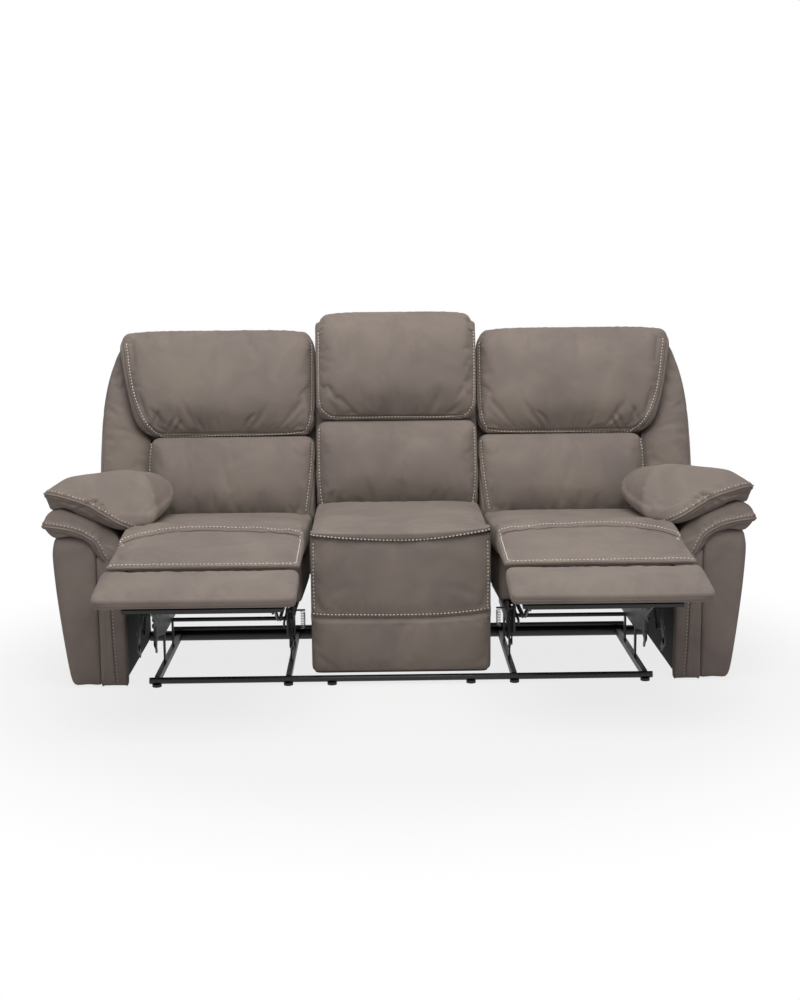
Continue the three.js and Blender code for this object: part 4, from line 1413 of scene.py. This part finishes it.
@dataclass
class EndSeat:
    """The seat cover that runs on over the chaise pad, the seat box and the footrest pad of a reclining seat."""

    side: Side
    inner: float = 287.0
    outer: float = 829.0
    chaise_outer: float = 828.0
    chaise_front: float = -322.0
    cushion_rear: float = 530.0
    box: tuple[float, float, float, float, float, float] = (297.0, 829.0, 24.0, 580.0, 248.0, 391.0)
    top_line: tuple[tuple[float, float], ...] = (
        (-322, 441), (-285, 447), (-240, 456), (-180, 466), (-120, 475), (-80, 482), (-40, 488), (0, 491), (40, 488), (90, 480),
        (153, 470), (532, 437))
    low_line: tuple[tuple[float, float], ...] = (
        (-322, 431), (-306, 429), (-288, 421), (-60, 414), (-20, 414), (20, 396), (40, 391.5), (530, 349))
    foot_edge: tuple[float, float] = (-312.0, 437.0)
    foot_slope: float = 11.0
    foot_length: float = 203.0
    foot_thickness: float = 58.0
    foot_inner: float = 289.0
    foot_outer: float = 842.0
    nominal: float = 80.0
    arch_line: tuple[tuple[float, float], ...] = (
        (822, -124), (805, -92), (740, -48), (628, -12), (457, -23), (350, -40), (298, -62))
    arch_step: float = 15.0

    def profile(self, points: Points) -> Points:
        """Fit the cover between its lower and upper side lines, and narrow its chaise part."""
        fitted = points.copy()
        top, low = (np.interp(points[:, 1], *zip(*line)) for line in (self.top_line, self.low_line))
        fitted[:, 2] = low + points[:, 2] / self.nominal * (top - low)
        behind = np.interp(points[:, 0], *zip(*sorted(self.arch_line))) - points[:, 1]
        step = np.clip(behind / 9, 0, 1) * np.clip(1 - behind / 230, 0, 1)
        fitted[:, 2] -= self.arch_step * step * (points[:, 2] / self.nominal)
        ahead = np.clip((20 - points[:, 1]) / 60, 0, 1)
        share = (points[:, 0] - self.inner) / (self.outer - self.inner)
        fitted[:, 0] -= (self.outer - self.chaise_outer) * ahead * share
        return fitted

    def on_footrest(self, points: Points) -> Points:
        """Turn places drawn level, from the footrest's rear upper edge, to its slope."""
        angle = math.radians(self.foot_slope)
        placed = points.copy()
        placed[:, 1] = self.foot_edge[0] + points[:, 1] * math.cos(angle) - points[:, 2] * math.sin(angle)
        placed[:, 2] = self.foot_edge[1] + points[:, 1] * math.sin(angle) + points[:, 2] * math.cos(angle)
        return placed

    def thin_front(self, points: Points) -> Points:
        """Raise the footrest's underside towards its front edge."""
        fitted = points.copy()
        share = np.clip(-points[:, 1] / self.foot_length, 0, 1)
        fitted[:, 2] *= 1 - 0.26 * share
        return fitted

    def cover(self) -> Pad:
        """Draw the seat cover, which runs from the seat over the chaise hinge."""
        word, flip = self.side.word, self.side.value
        ends = in_row(np.array([(flip * 560.0, 0.0, 459.0), (flip * 560.0, -66.0, 459.0)]))
        carrier = Carrier(f"{word}_seat", f"{word}_chaise", tuple(ends[0]), tuple(ends[1]))
        arch = Seam(self.arch_line, (560.0, 600.0), Face.TOP, (-9.0,), 2.0, 0.6, 5.0, 9.0, 13.0)
        front = Seam(((302, -309), (420, -311), (600, -310), (816, -306)), (560.0, 0.0), Face.TOP, groove=0)
        inside = Seam(((296, -66), (296, -180), (297, -304)), (560.0, -150.0), Face.TOP, welt=7.0, groove=0)
        wrinkles = tuple(Dent(knots, Face.TOP, 13.0, 2.6) for knots in (
            ((700, -150), (660, -95), (610, -62)), ((745, -270), (650, -150), (560, -75)), ((655, -285), (565, -200), (470, -140)),
            ((590, -270), (505, -200), (420, -150)), ((470, -240), (400, -180), (345, -155)), ((780, -200), (755, -150), (735, -110)),
            ((520, 40), (600, 56), (700, 40)), ((330, 20), (380, 70), (440, 90)), ((640, 150), (560, 240), (440, 260))))
        return Pad(
            f"{word}_seat_cover", carrier, (f"{word}_seat_cushion", f"{word}_chaise_pad"), self.side, (), Puff(cap_mm=12, slack=0.03),
            (arch, front, inside), wrinkles, 0.8, 41, (self.inner, self.chaise_front, 0.0),
            (self.outer, self.cushion_rear, self.nominal), (12, 12, 22), Crown(top=3), cell=11.0, fits=(self.profile,),
            pinned=Hold(Held.BASE, 0.04))

    def build(self) -> list[Cover]:
        """Draw the seat's pieces."""
        word, side = self.side.word, self.side
        low_x, high_x, low_y, high_y, low_z, high_z = self.box
        box = Pad(
            f"{word}_seat_box_cover", Carrier(f"{word}_seat"), (f"{word}_seat_box",), side, (SeatLean(),), None, (),
            gathers((300, 300), (800, 300), (20, 50), 5, 8, width=12.0, depth=2.0), 0.3, 5, (low_x, low_y, low_z),
            (high_x, high_y, high_z), (9, 9, 9), Crown(front=4, left=3), cell=18.0, unevenness=0)
        foot_seam = Seam(((self.foot_inner + 8, -27), (self.foot_outer - 8, -27)), (560.0, 40.0), Face.FRONT, (), 0.01, 1.4, 1.6, 4.0)
        pleat = gathers((self.foot_outer - 6, -30), (self.foot_outer - 26, -34), (-16, 12), 3, 9, depth=3.0)
        foot = Pad(
            f"{word}_footrest_cover", Carrier(f"{word}_footrest_panel"), (f"{word}_footrest_pad",), side, (self.on_footrest,),
            Puff(cap_mm=10), (foot_seam,), pleat + (Dent(((340, -60), (560, -72), (780, -58)), Face.TOP, 22.0, 1.6),), 0.75, 43,
            (self.foot_inner, -self.foot_length, -self.foot_thickness), (self.foot_outer, 0, -3), (18, 24, 20),
            Crown(top=3, front=3), cell=10.0, fits=(self.thin_front,), pinned=Hold(Held.BASE, 0.05))
        return [self.cover(), box, foot]


# Middle seat


@dataclass
class CentreSeat:
    """The fixed middle seat: box, seat cushion and the pad down its front."""

    half: float = 271.5
    inset: float = 4.0
    front: float = 11.0
    rear: float = 600.0
    box_low: float = 28.6
    box_high: float = 391.0
    seat_top: float = 480.0
    cushion_rear: float = 520.0
    pad_low: float = 45.0
    pad_high: float = 470.0
    pad_front: float = -26.0
    seam_line: tuple[tuple[float, float], ...] = (
        (-266, 470), (-171, 460), (-61, 453), (40, 452), (120, 458), (204, 470), (264, 480))

    def roll_over(self, points: Points) -> Points:
        """Lift the seat cushion's underside in front to the seam where it rolls over the front pad."""
        fitted = points.copy()
        ahead = 1 / (1 + np.exp((points[:, 1] - 16) / 3.0))
        seam = np.interp(points[:, 0], *zip(*self.seam_line)) - 7
        low = (self.box_high + 0.5) * (1 - ahead) + seam * ahead
        share = (points[:, 2] - self.box_high) / (self.seat_top - self.box_high)
        top = self.seat_top + 12 * np.clip(points[:, 0] / self.half, 0, 1) ** 2 * ahead
        fitted[:, 2] = low + share * (top - low)
        return fitted

    def build(self) -> list[Cover]:
        """Draw the seat's pieces."""
        edge, base = self.half - self.inset, Carrier("base")
        cushion = Pad(
            "centre_seat_cover", base, ("centre_seat_cushion",), puff=Puff(cap_mm=12), fill=0.8, seed=51,
            seams=(Seam(self.seam_line, (0.0, 900.0), welt=7.0, groove=0),),
            dents=(Dent(((-225, 74), (-80, 58), (40, 46), (150, 54), (250, 76)), Face.TOP, 8.0, 3.0),
                   Dent(((80, 260), (160, 210), (230, 150)), Face.TOP, 16.0, 2.0)),
            low=(-edge - 3, self.pad_front - 9, self.box_high), high=(edge + 3, self.cushion_rear, self.seat_top),
            rounding=(14, 34, 26), crown=Crown(top=5), fits=(self.roll_over,), pinned=Hold(Held.BASE, 0.05))
        box = Pad("centre_box_cover", base, ("centre_seat_box",), fill=0.3, low=(-edge, self.front, self.box_low),
                  high=(edge, self.rear, self.box_high), rounding=(8, 8, 8), cell=20.0, unevenness=0)
        low = Seam(((-262, 228), (-180, 224), (54, 222), (180, 228), (262, 238)), (0.0, 460.0), welt=7.0, groove=8.0,
                   groove_away=12.0, groove_width=7.0)
        sides = tuple(Seam(((x, 440), (x * 1.005, 340), (x, 246)), (0.0, 340.0), welt=6.0, groove=0) for x in (-261.0, 261.0))
        panel = Pad(
            "centre_front_cover", base, ("centre_front_pad",), puff=Puff(cap_mm=9), seams=(low, *sides),
            dents=(Dent(((-238, 262), (-190, 300), (-120, 318)), width=12.0, depth=1.6), Dent(((236, 268), (180, 300), (120, 306)),
                                                                                            width=12.0, depth=1.6)),
            fill=0.6, seed=52, low=(-self.half, self.pad_front, self.pad_low), high=(self.half, self.front, self.pad_high),
            rounding=(15, 18, 16), crown=Crown(front=4), cell=10.0, pinned=Hold(Held.REAR, 0.05))
        return [cushion, box, panel]


# Arms


@dataclass
class ArmRun(Cover):
    """A padded length of an arm: one outline in the front view, run from front to rear, with a domed or sewn front."""

    limits: tuple[float, float, float, float] = (0.0, 1.0, 0.0, 1.0)
    outline: tuple[tuple[float, float], ...] = ()
    front: float = -22.0
    rear: float = 565.0
    ridge: tuple[tuple[float, float], ...] = ()
    fall: tuple[float, float] = (0.0, 0.0)
    front_round: float = 20.0
    bulge: float = 0.0
    sink: float = 0.0
    recede: tuple[float, float, float] = (0.0, -1.0, 0.0)
    count: int = 96
    rings: int = 44

    def ridge_rise(self, flat: Points) -> Points:
        """How far each place of the front view lies above the front seam."""
        if not self.ridge:
            return np.zeros(len(flat))
        return flat[:, 1] - np.interp(flat[:, 0], *zip(*sorted(self.ridge)))

    def front_y(self, flat: Points, size: float) -> Points:
        """Where the front lies, for places of the front view on a ring of that size."""
        rise = self.ridge_rise(flat)
        above, below = np.clip(rise, 0, None), np.clip(-rise, 0, None)
        slope = self.fall[0] * (above / 100) ** 1.5 + self.fall[1] * (below / 100) ** 1.3
        start, end, depth = self.recede
        slope += depth * np.clip((start - flat[:, 0]) / (start - end), 0, 1) ** 1.6
        return self.front + slope + self.front_round * (1 - math.sqrt(max(0.0, 1 - size ** 5)))

    def layout(self) -> tuple[Points, list[tuple[int, ...]]]:
        """Draw every ring from the front's middle to the rear's middle."""
        inner, outer, low, high = self.limits
        flat = np.array(self.outline, float) * [outer - inner, high - low] + [inner, low]
        flat = smooth_line(flat, count=self.count, closed=True)
        middle = flat.mean(0)
        rows = []
        for size in np.sin(np.linspace(0.03, 1, 13) * math.pi / 2)[:-1]:
            ring = middle + (flat - middle) * size
            rows.append(np.column_stack([ring[:, 0], self.front_y(ring, size), ring[:, 1]]))
        lip = self.front_y(flat, 1.0)
        for step in np.concatenate([[0.0, 0.01, 0.025, 0.045], np.linspace(0.07, 1, self.rings)]):
            ring = middle + (flat - middle) * (1 - 0.03 * math.exp(-(1 - step) / 0.03))
            ring[:, 1] = low + (ring[:, 1] - low) * (1 - self.sink * step)
            ring[:, 0] -= self.bulge * math.sin(math.pi * step)
            rows.append(np.column_stack([ring[:, 0], lip + step * (self.rear - lip), ring[:, 1]]))
        last = rows[-1][:, [0, 2]]
        for size in (0.85, 0.5, 0.12):
            ring = last.mean(0) + (last - last.mean(0)) * size
            rows.append(np.column_stack([ring[:, 0], np.full(len(ring), self.rear + 1.0), ring[:, 1]]))
        total, faces = len(rows), []
        for row in range(total - 1):
            for k in range(self.count):
                a, b = row * self.count + k, row * self.count + (k + 1) % self.count
                faces.append((a, b, b + self.count, a + self.count))
        faces.append(tuple(reversed(range(self.count))))
        faces.append(tuple((total - 1) * self.count + k for k in range(self.count)))
        turn = np.sum(flat[:, 0] * np.roll(flat[:, 1], -1) - np.roll(flat[:, 0], -1) * flat[:, 1])
        return np.vstack(rows), faces if turn > 0 else [tuple(reversed(face)) for face in faces]

    def pins(self) -> Points:
        """Hold the sewn front seam, the underside and the rear."""
        flat = self.drawn[:, [0, 2]]
        near_front = np.clip(1 - (self.drawn[:, 1] - self.front - 30) / 30, 0, 1)
        seam = np.clip(1.6 - np.abs(self.ridge_rise(flat)) / 9, 0, 1) * near_front
        rear = np.clip((self.drawn[:, 1] - self.rear + 30) / 30, 0, 1)
        _, _, low, high = self.limits
        under = np.clip(1.4 - (self.drawn[:, 2] - low) / (0.25 * (high - low)), 0, 1)
        return np.maximum.reduce([seam, rear, under])


@dataclass
class Arm:
    """One arm: pillow, roll, outer panel and facing strip over the lined frame."""

    side: Side
    front: float = -20.0
    rear: float = 565.0
    pillow_rear: float = 506.0
    pillow_limits: tuple[float, float, float, float] = (739.0, 1059.0, 484.0, 654.0)
    roll_limits: tuple[float, float, float, float] = (836.0, 1069.0, 388.0, 560.0)
    panel_limits: tuple[float, float, float, float] = (911.0, 1044.0, 6.0, 468.0)
    facing_limits: tuple[float, float, float, float] = (832.0, 911.0, 8.0, 404.0)

    def pillow(self) -> ArmRun:
        """Draw the pillow on top of the arm."""
        ridge = ((1058, 601), (1022, 598), (969, 583), (930, 569), (889, 544), (845, 516), (800, 490))
        seam = Seam(ridge, (800.0, 720.0), rows=(-8.0,), welt=3.0, groove=3.0, groove_away=10.0)
        high = gathers((1030, 606), (860, 532), (-34, 30), 8, 21, width=5.5, depth=3.2)
        low = gathers((1000, 584), (880, 530), (22, -20), 4, 22, width=5.0, depth=2.6)
        crease = Dent(((1046, 560), (1010, 565), (955, 556)), width=6.0, depth=3.4)
        top = (Dent(((760, 575), (735, 560), (722, 530)), width=8.0, depth=2.4),
               Dent(((790, 560), (775, 545), (770, 525)), width=7.0, depth=2.0))
        return ArmRun(
            f"{self.side.word}_arm_pillow_cover", Carrier("base"), (f"{self.side.word}_arm_pillow",), self.side, (),
            Puff(cap_mm=7, slack=0.02), (seam,), high + low + (crease, *top), 0.75, 61, self.pillow_limits,
            ((1, 0.66), (0.974, 0.77), (0.885, 0.88), (0.8, 0.955), (0.67, 0.985), (0.54, 0.995), (0.4, 1), (0.28, 0.98),
             (0.155, 0.88), (0.07, 0.70), (0.015, 0.47), (0, 0.24), (0.03, 0.07), (0.1, 0.02), (0.2, 0.0), (0.3, 0.0),
             (0.42, 0.06), (0.52, 0.14), (0.69, 0.27), (0.862, 0.37), (0.968, 0.36), (0.99, 0.5)),
            self.front, self.pillow_rear, ridge, (86.0, 30.0), 24.0, 8.0, 0.38, (850.0, 735.0, 70.0))

    def roll(self) -> ArmRun:
        """Draw the roll that the pillow rests on."""
        ridge = ((1067, 505), (1011, 498), (966, 487), (934, 471), (907, 449), (888, 408), (875, 390))
        seam = Seam(ridge, (860.0, 560.0), rows=(-8.0,), welt=3.0, groove=3.0, groove_away=9.0)
        folds = gathers((960, 500), (900, 450), (-16, 26), 3, 24, width=7.0, depth=2.0)
        return ArmRun(
            f"{self.side.word}_arm_roll_cover", Carrier("base"), (f"{self.side.word}_arm_roll",), self.side, (),
            Puff(cap_mm=6, slack=0.02), (seam,), folds, 0.7, 62, self.roll_limits,
            ((1, 0.72), (0.93, 0.90), (0.8, 0.965), (0.72, 0.965), (0.5, 0.86), (0.24, 0.69), (0.06, 0.5), (0, 0.3), (0, 0.05),
             (0.03, 0.0), (0.12, 0.0), (0.2, 0.02), (0.3, 0.1), (0.34, 0.28), (0.43, 0.385), (0.7, 0.455), (0.86, 0.41),
             (0.97, 0.55)),
            self.front, self.rear, ridge, (26.0, 20.0), 14.0)

    def panel(self) -> ArmRun:
        """Draw the padded outer panel."""
        folds = gathers((925, 18), (985, 14), (4, 34), 4, 25, width=6.0, depth=1.8)
        return ArmRun(
            f"{self.side.word}_arm_panel_cover", Carrier("base"), (f"{self.side.word}_arm_outer_panel",), self.side, (), None, (),
            folds + (Dent(((940, 440), (1000, 430), (1036, 400)), width=18.0, depth=3.0),), 0.4, 63, self.panel_limits,
            ((0, 0.03), (0.06, 0.0), (0.3, 0.004), (0.5, 0.0), (0.61, 0.0), (0.67, 0.02), (0.73, 0.09), (0.82, 0.28), (0.9, 0.48),
             (0.96, 0.66), (1, 0.85), (0.985, 0.93), (0.93, 0.985), (0.8, 1), (0.4, 1), (0.06, 1), (0, 0.97), (0, 0.7), (0, 0.3)),
            self.front + 4, self.rear, (), (0.0, 0.0), 22.0)

    def facing(self) -> ArmRun:
        """Draw the strip that faces the arm's frame in front."""
        seam = Seam(((869, 398), (869, 245), (866, 130), (862, 24)), (700.0, 240.0), welt=8.0, groove=3.0, groove_away=12.0)
        return ArmRun(
            f"{self.side.word}_arm_facing_cover", Carrier("base"), (f"{self.side.word}_arm_facing",), self.side, (),
            None, (seam,), (), 0.3, 64, self.facing_limits,
            ((0, 0.012), (0.1, 0.0), (0.5, 0.0), (0.9, 0.0), (1, 0.012), (1, 0.3), (1, 0.6), (1, 0.98), (0.9, 1),
             (0.5, 1), (0.1, 1), (0, 0.98), (0, 0.6), (0, 0.3)),
            self.front + 3, 24.0, (), (0.0, 0.0), 9.0, count=120, rings=6)

    def build(self) -> list[Cover]:
        """Draw the arm's pieces."""
        return [self.pillow(), self.roll(), self.panel(), self.facing()]


# Steelwork and plastic


@dataclass
class Hardware:
    """Finishes for the solids that stay as they are."""

    finishes: Finishes

    def dress(self) -> None:
        """Give each remaining solid the finish of its slot."""
        by_slot = {"cover_fabric": self.finishes.cover, "black_lining": self.finishes.lining, "black_steel": self.finishes.steel,
                   "glide_plastic": self.finishes.plastic, "lever_plastic": self.finishes.plastic,
                   "spring_steel": self.finishes.zinc}
        for part in frame["record"]["subparts"]:
            solid = frame["nodes"][part["node"]]
            solid.data.materials.clear()
            solid.data.materials.append(by_slot[part["material_slot"]])


@dataclass(frozen=True)
class Bar:
    """A flat steel bar with round ends, drawn from the side of a right-hand seat."""

    part: str
    start: tuple[float, float]
    end: tuple[float, float]
    width: float
    layer: float
    thickness: float = 3.2
    ease: float = 0.7
    arc_steps: int = 10

    def mesh(self, sign: float, turn: float) -> tuple[Points, list[tuple[int, ...]]]:
        """Cut the bar out, with eased edges.

        Args:
            sign: the sign of X at this end of the sofa.
            turn: its place along X.

        Returns:
            Its corners in drawn millimetres and the corners of each face.
        """
        a, b = np.array(self.start, float), np.array(self.end, float)
        heading = math.atan2(*(b - a)[::-1])
        arcs = [(centre, heading + side * math.pi / 2 + step) for centre, side in ((b, -1), (a, 1))
                for step in np.linspace(0, math.pi, self.arc_steps)]
        ease, rows = self.ease, []
        for across, draw_in in ((-0.5, ease), (-0.5, 0.0), (0.5, 0.0), (0.5, ease)):
            depth = across * (self.thickness - (0.0 if draw_in else 2 * ease))
            radius = self.width / 2 - draw_in
            rows += [(sign * (turn + depth), c[0] + radius * math.cos(t), c[1] + radius * math.sin(t)) for c, t in arcs]
        count = len(arcs)
        faces = [tuple(range(count)), tuple(3 * count + k for k in reversed(range(count)))]
        for row in range(3):
            low, high = row * count, (row + 1) * count
            faces += [(low + k, high + k, high + (k + 1) % count, low + (k + 1) % count) for k in range(count)]
        return np.array(rows), faces


@dataclass
class Linkage:
    """The second links, the stop bars and the rivets of one recliner mechanism, beside the solids' links."""

    finishes: Finishes
    side: Side
    rivets: RivetTree
    middle: float = 545.0
    bars: tuple[Bar, ...] = (
        Bar("rear_link", (100, 207), (-66, 206), 16, 738.5), Bar("front_link", (-114, 256), (-272, 334), 16, 709.5),
        Bar("rear_link", (-50, 252), (-120, 156), 36, 777.0), Bar("rear_link", (-120, 156), (-92, 128), 24, 777.0),
        Bar("rear_link", (-50, 252), (90, 214), 32, 777.0), Bar("rear_link", (-96, 190), (10, 168), 20, 780.4),
        Bar("rear_link", (10, 168), (60, 220), 22, 780.4), Bar("seat", (62, 210), (196, 199), 38, 753.0),
        Bar("seat", (62, 208), (46, 116), 24, 749.6), Bar("seat", (122, 204), (102, 118), 18, 756.4),
        Bar("seat", (46, 116), (76, 92), 16, 753.0), Bar("seat", (76, 214), (60, 122), 30, 756.4),
        Bar("footrest_panel", (-318, 366), (-440, 372), 22, 712.0))
    pins: tuple[tuple[str, float, float, float], ...] = (
        ("rear_link", 107.3, 225.1, 729.0), ("rear_link", -99.8, 234.0, 734.5), ("front_link", -301.6, 331.1, 714.0),
        ("rear_link", 100, 207, 740.5), ("rear_link", -66, 206, 740.5), ("front_link", -114, 256, 711.5),
        ("front_link", -272, 334, 711.5), ("seat", 62, 208, 755.0), ("seat", 46, 116, 752.0), ("seat", 122, 204, 758.4),
        ("seat", 102, 118, 758.4), ("seat", 196, 199, 755.0), ("seat", 76, 92, 755.0), ("rear_link", -96, 190, 782.2),
        ("rear_link", 10, 168, 782.2), ("rear_link", 60, 220, 782.2), ("rear_link", -50, 252, 779.0))
    outside: float = 760.0
    rivet_radius: float = 7.5
    rivet_height: float = 3.2

    def turns(self, layer: float) -> tuple[float, ...]:
        """The places along X: both ends of the seat, or the outer end only."""
        return (layer,) if layer > self.outside else (layer, 2 * self.middle - layer)

    def build(self) -> None:
        """Make one mesh of bars and one of rivets for each body."""
        sign, word = self.side.value, self.side.word
        for part in sorted({bar.part for bar in self.bars}):
            body = f"{word}_{part}"
            points, faces = [], []
            for bar in self.bars:
                for turn in self.turns(bar.layer):
                    if bar.part == part:
                        corners, rings = bar.mesh(sign, turn)
                        faces += [tuple(k + len(points) for k in ring) for ring in rings]
                        points += list(corners)
            thing = new_mesh_object(f"{body}_bars", in_row(np.array(points)), faces, self.finishes.steel)
            turn_out(thing)
            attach(thing, body)
            spots = [(sign * turn, y, z) for name, y, z, layer in self.pins if name == part
                     for turn in self.turns(layer)]
            if spots:
                sizes = {"Radius": self.rivet_radius * MM, "Height": self.rivet_height * MM}
                heads = self.rivets.apply(f"{body}_rivets", in_row(np.array(spots)), (), sizes)
                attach(heads, body)
            LOG.info("%s: %d faces and %d rivets", thing.name, len(faces), len(spots))


def turn_out(thing: bpy.types.Object) -> None:
    """Turn every face of a closed flat-sided mesh outwards.

    Args:
        thing: the mesh object.
    """
    work = bmesh.new()
    work.from_mesh(thing.data)
    bmesh.ops.recalc_face_normals(work, faces=work.faces)
    work.to_mesh(thing.data)
    work.free()
    thing.data.polygons.foreach_set("use_smooth", [False] * len(thing.data.polygons))
    thing.data.update()


# Studio


@dataclass(frozen=True)
class Studio:
    """A white sweep, large soft lamps and a camera where the photograph was taken."""

    camera_x: float = -66.4
    camera_y: float = -4424.5
    camera_z: float = 1307.0
    yaw: float = 0.86
    pitch: float = 9.49
    roll: float = -0.52
    lens: float = 54.0
    near: float = 0.95
    far: float = 1.75
    near_white: float = 0.8

    def camera(self) -> None:
        """Place the camera, which looks a little down and to the right."""
        yaw, pitch, roll = (math.radians(angle) for angle in (self.yaw, self.pitch, self.roll))
        level = Vector((math.sin(yaw), math.cos(yaw), 0))
        across = Vector((math.cos(yaw), -math.sin(yaw), 0))
        ahead = level * math.cos(pitch) - Vector((0, 0, math.sin(pitch)))
        up = across.cross(ahead)
        right = across * math.cos(roll) + up * math.sin(roll)
        top = up * math.cos(roll) - across * math.sin(roll)
        data = bpy.data.cameras.new("Camera")
        data.lens = self.lens
        data.sensor_width = 36.0
        data.clip_end = 60.0
        camera = bpy.data.objects.new("Camera", data)
        place = in_row(np.array([[self.camera_x, self.camera_y, self.camera_z]]))[0]
        turn = Matrix((right, top, -ahead)).transposed()
        camera.matrix_world = Matrix.Translation(Vector(place)) @ turn.to_4x4()
        bpy.context.scene.collection.objects.link(camera)
        bpy.context.scene.camera = camera

    @staticmethod
    def seen_rays(tree: bpy.types.NodeTree) -> bpy.types.NodeSocket:
        """One where a ray comes from the camera, a gloss or a glass, and zero elsewhere."""
        rays = add_node(tree, "ShaderNodeLightPath")
        seen = add_node(tree, "ShaderNodeMath", {"operation": "MAXIMUM"},
                        {0: rays.outputs["Is Camera Ray"], 1: rays.outputs["Is Glossy Ray"]})
        both = add_node(tree, "ShaderNodeMath", {"operation": "MAXIMUM"},
                        {0: seen.outputs["Value"], 1: rays.outputs["Is Transmission Ray"]})
        return both.outputs["Value"]

    def floor(self) -> None:
        """Lay the pale floor, which keeps the sofa's shadow and turns white away from it."""
        material = bpy.data.materials.new("pale_floor_painted")
        material.use_nodes = True
        tree = material.node_tree
        tree.nodes.clear()
        place = add_node(tree, "ShaderNodeTexCoord").outputs["Object"]
        away = add_node(tree, "ShaderNodeVectorMath", {"operation": "LENGTH"}, {0: place})
        white_share = add_node(tree, "ShaderNodeMapRange",
                               {"interpolation_type": "SMOOTHSTEP", "From Min": self.near, "From Max": self.far,
                                "To Min": self.near_white, "To Max": 1.0}, {"Value": away.outputs["Value"]})
        share = add_node(tree, "ShaderNodeMath", {"operation": "MULTIPLY"},
                         {0: white_share.outputs["Result"], 1: self.seen_rays(tree)})
        lit = add_node(tree, "ShaderNodeBsdfDiffuse", {"Color": linear("C9C6C4")})
        white = add_node(tree, "ShaderNodeEmission", {"Color": (1, 1, 1, 1), "Strength": 1.0})
        mixed = add_node(tree, "ShaderNodeMixShader",
                         links={0: share.outputs["Value"], 1: lit.outputs["BSDF"], 2: white.outputs["Emission"]})
        add_node(tree, "ShaderNodeOutputMaterial", links={"Surface": mixed.outputs["Shader"]})
        reach = 30.0
        corners = np.array([(-reach, -reach, 0), (reach, -reach, 0), (reach, reach, 0), (-reach, reach, 0)], float)
        floor = new_mesh_object("floor", corners, [(0, 1, 2, 3)], material)

    def world(self) -> None:
        """Fill the room with plain light and show white behind the sofa."""
        world = bpy.data.worlds.new("Studio")
        bpy.context.scene.world = world
        world.use_nodes = True
        tree = world.node_tree
        tree.nodes.clear()
        lit = add_node(tree, "ShaderNodeBackground", {"Color": (0.94, 0.91, 1.0, 1), "Strength": 0.36})
        white = add_node(tree, "ShaderNodeBackground", {"Color": (1, 1, 1, 1), "Strength": 1.0})
        mixed = add_node(tree, "ShaderNodeMixShader",
                         links={0: self.seen_rays(tree), 1: lit.outputs["Background"], 2: white.outputs["Background"]})
        add_node(tree, "ShaderNodeOutputWorld", links={"Surface": mixed.outputs["Shader"]})

    def lamp(self, name: str, place: tuple[float, float, float], target: tuple[float, float, float], size: float,
             power: float, colour: tuple[float, float, float]) -> None:
        """Hang a square soft lamp.

        Args:
            name: the lamp's name.
            place: where it hangs, in the row frame.
            target: what it points at.
            size: its side in metres.
            power: its power in watts.
            colour: its linear colour.
        """
        data = bpy.data.lights.new(name, "AREA")
        data.energy = power
        data.size = size
        data.color = colour
        lamp = bpy.data.objects.new(name, data)
        lamp.location = place
        lamp.rotation_euler = (Vector(target) - Vector(place)).to_track_quat("-Z", "Y").to_euler()
        bpy.context.scene.collection.objects.link(lamp)

    def light(self) -> None:
        """Hang the lamps: a warm key over the front and weak fills."""
        self.lamp("overhead", (0.0, -1.25, 3.15), (0.0, 0.4, 0.75), 2.6, 80.0, (1.0, 0.985, 0.965))
        self.lamp("front_left", (-3.2, -4.0, 2.2), (0.0, 0.0, 0.4), 2.4, 1.5, (1.0, 0.97, 1.0))
        self.lamp("front_right", (3.4, -4.0, 2.2), (0.0, 0.0, 0.4), 2.4, 2.0, (1.0, 0.97, 1.0))

    def build(self) -> None:
        """Set up the whole studio."""
        self.camera()
        self.floor()
        self.world()
        self.light()
        bpy.context.scene.view_settings.view_transform = "Standard"
        LOG.info("studio ready")


def main() -> None:
    """Build and dress the sofa."""
    logging.basicConfig(level=logging.INFO, format="%(name)s %(relativeCreated).0f ms: %(message)s")
    Studio().build()
    finishes = Finishes()
    Hardware(finishes).dress()
    groups: list = [CentreSeat(), BackPads("base", "centre"), BackShell("base", "centre")]
    outline = ((262, 1005), (724, 1005), (863, 993), (963, 957), (1017, 905), (1032, 850))
    for side in Side:
        pads = end_back(side)
        shell = BackShell(f"{side.word}_back", side.word, side, 276.5, outline, lean=(SeatLean(),))
        groups += [pads, shell, BackWing(side, pads), EndSeat(side), Arm(side)]
    covers = [cover.build(finishes.cover) for group in groups for cover in group.build()]
    blow_up(covers)
    sewing = Sewing(finishes)
    for cover in covers:
        cover.settle()
        cover.finish(sewing)
    sewing.sew()
    rivets = RivetTree("rivet_heads", finishes.steel)
    for side in Side:
        Linkage(finishes, side, rivets).build()


if __name__ == "__main__":
    main()
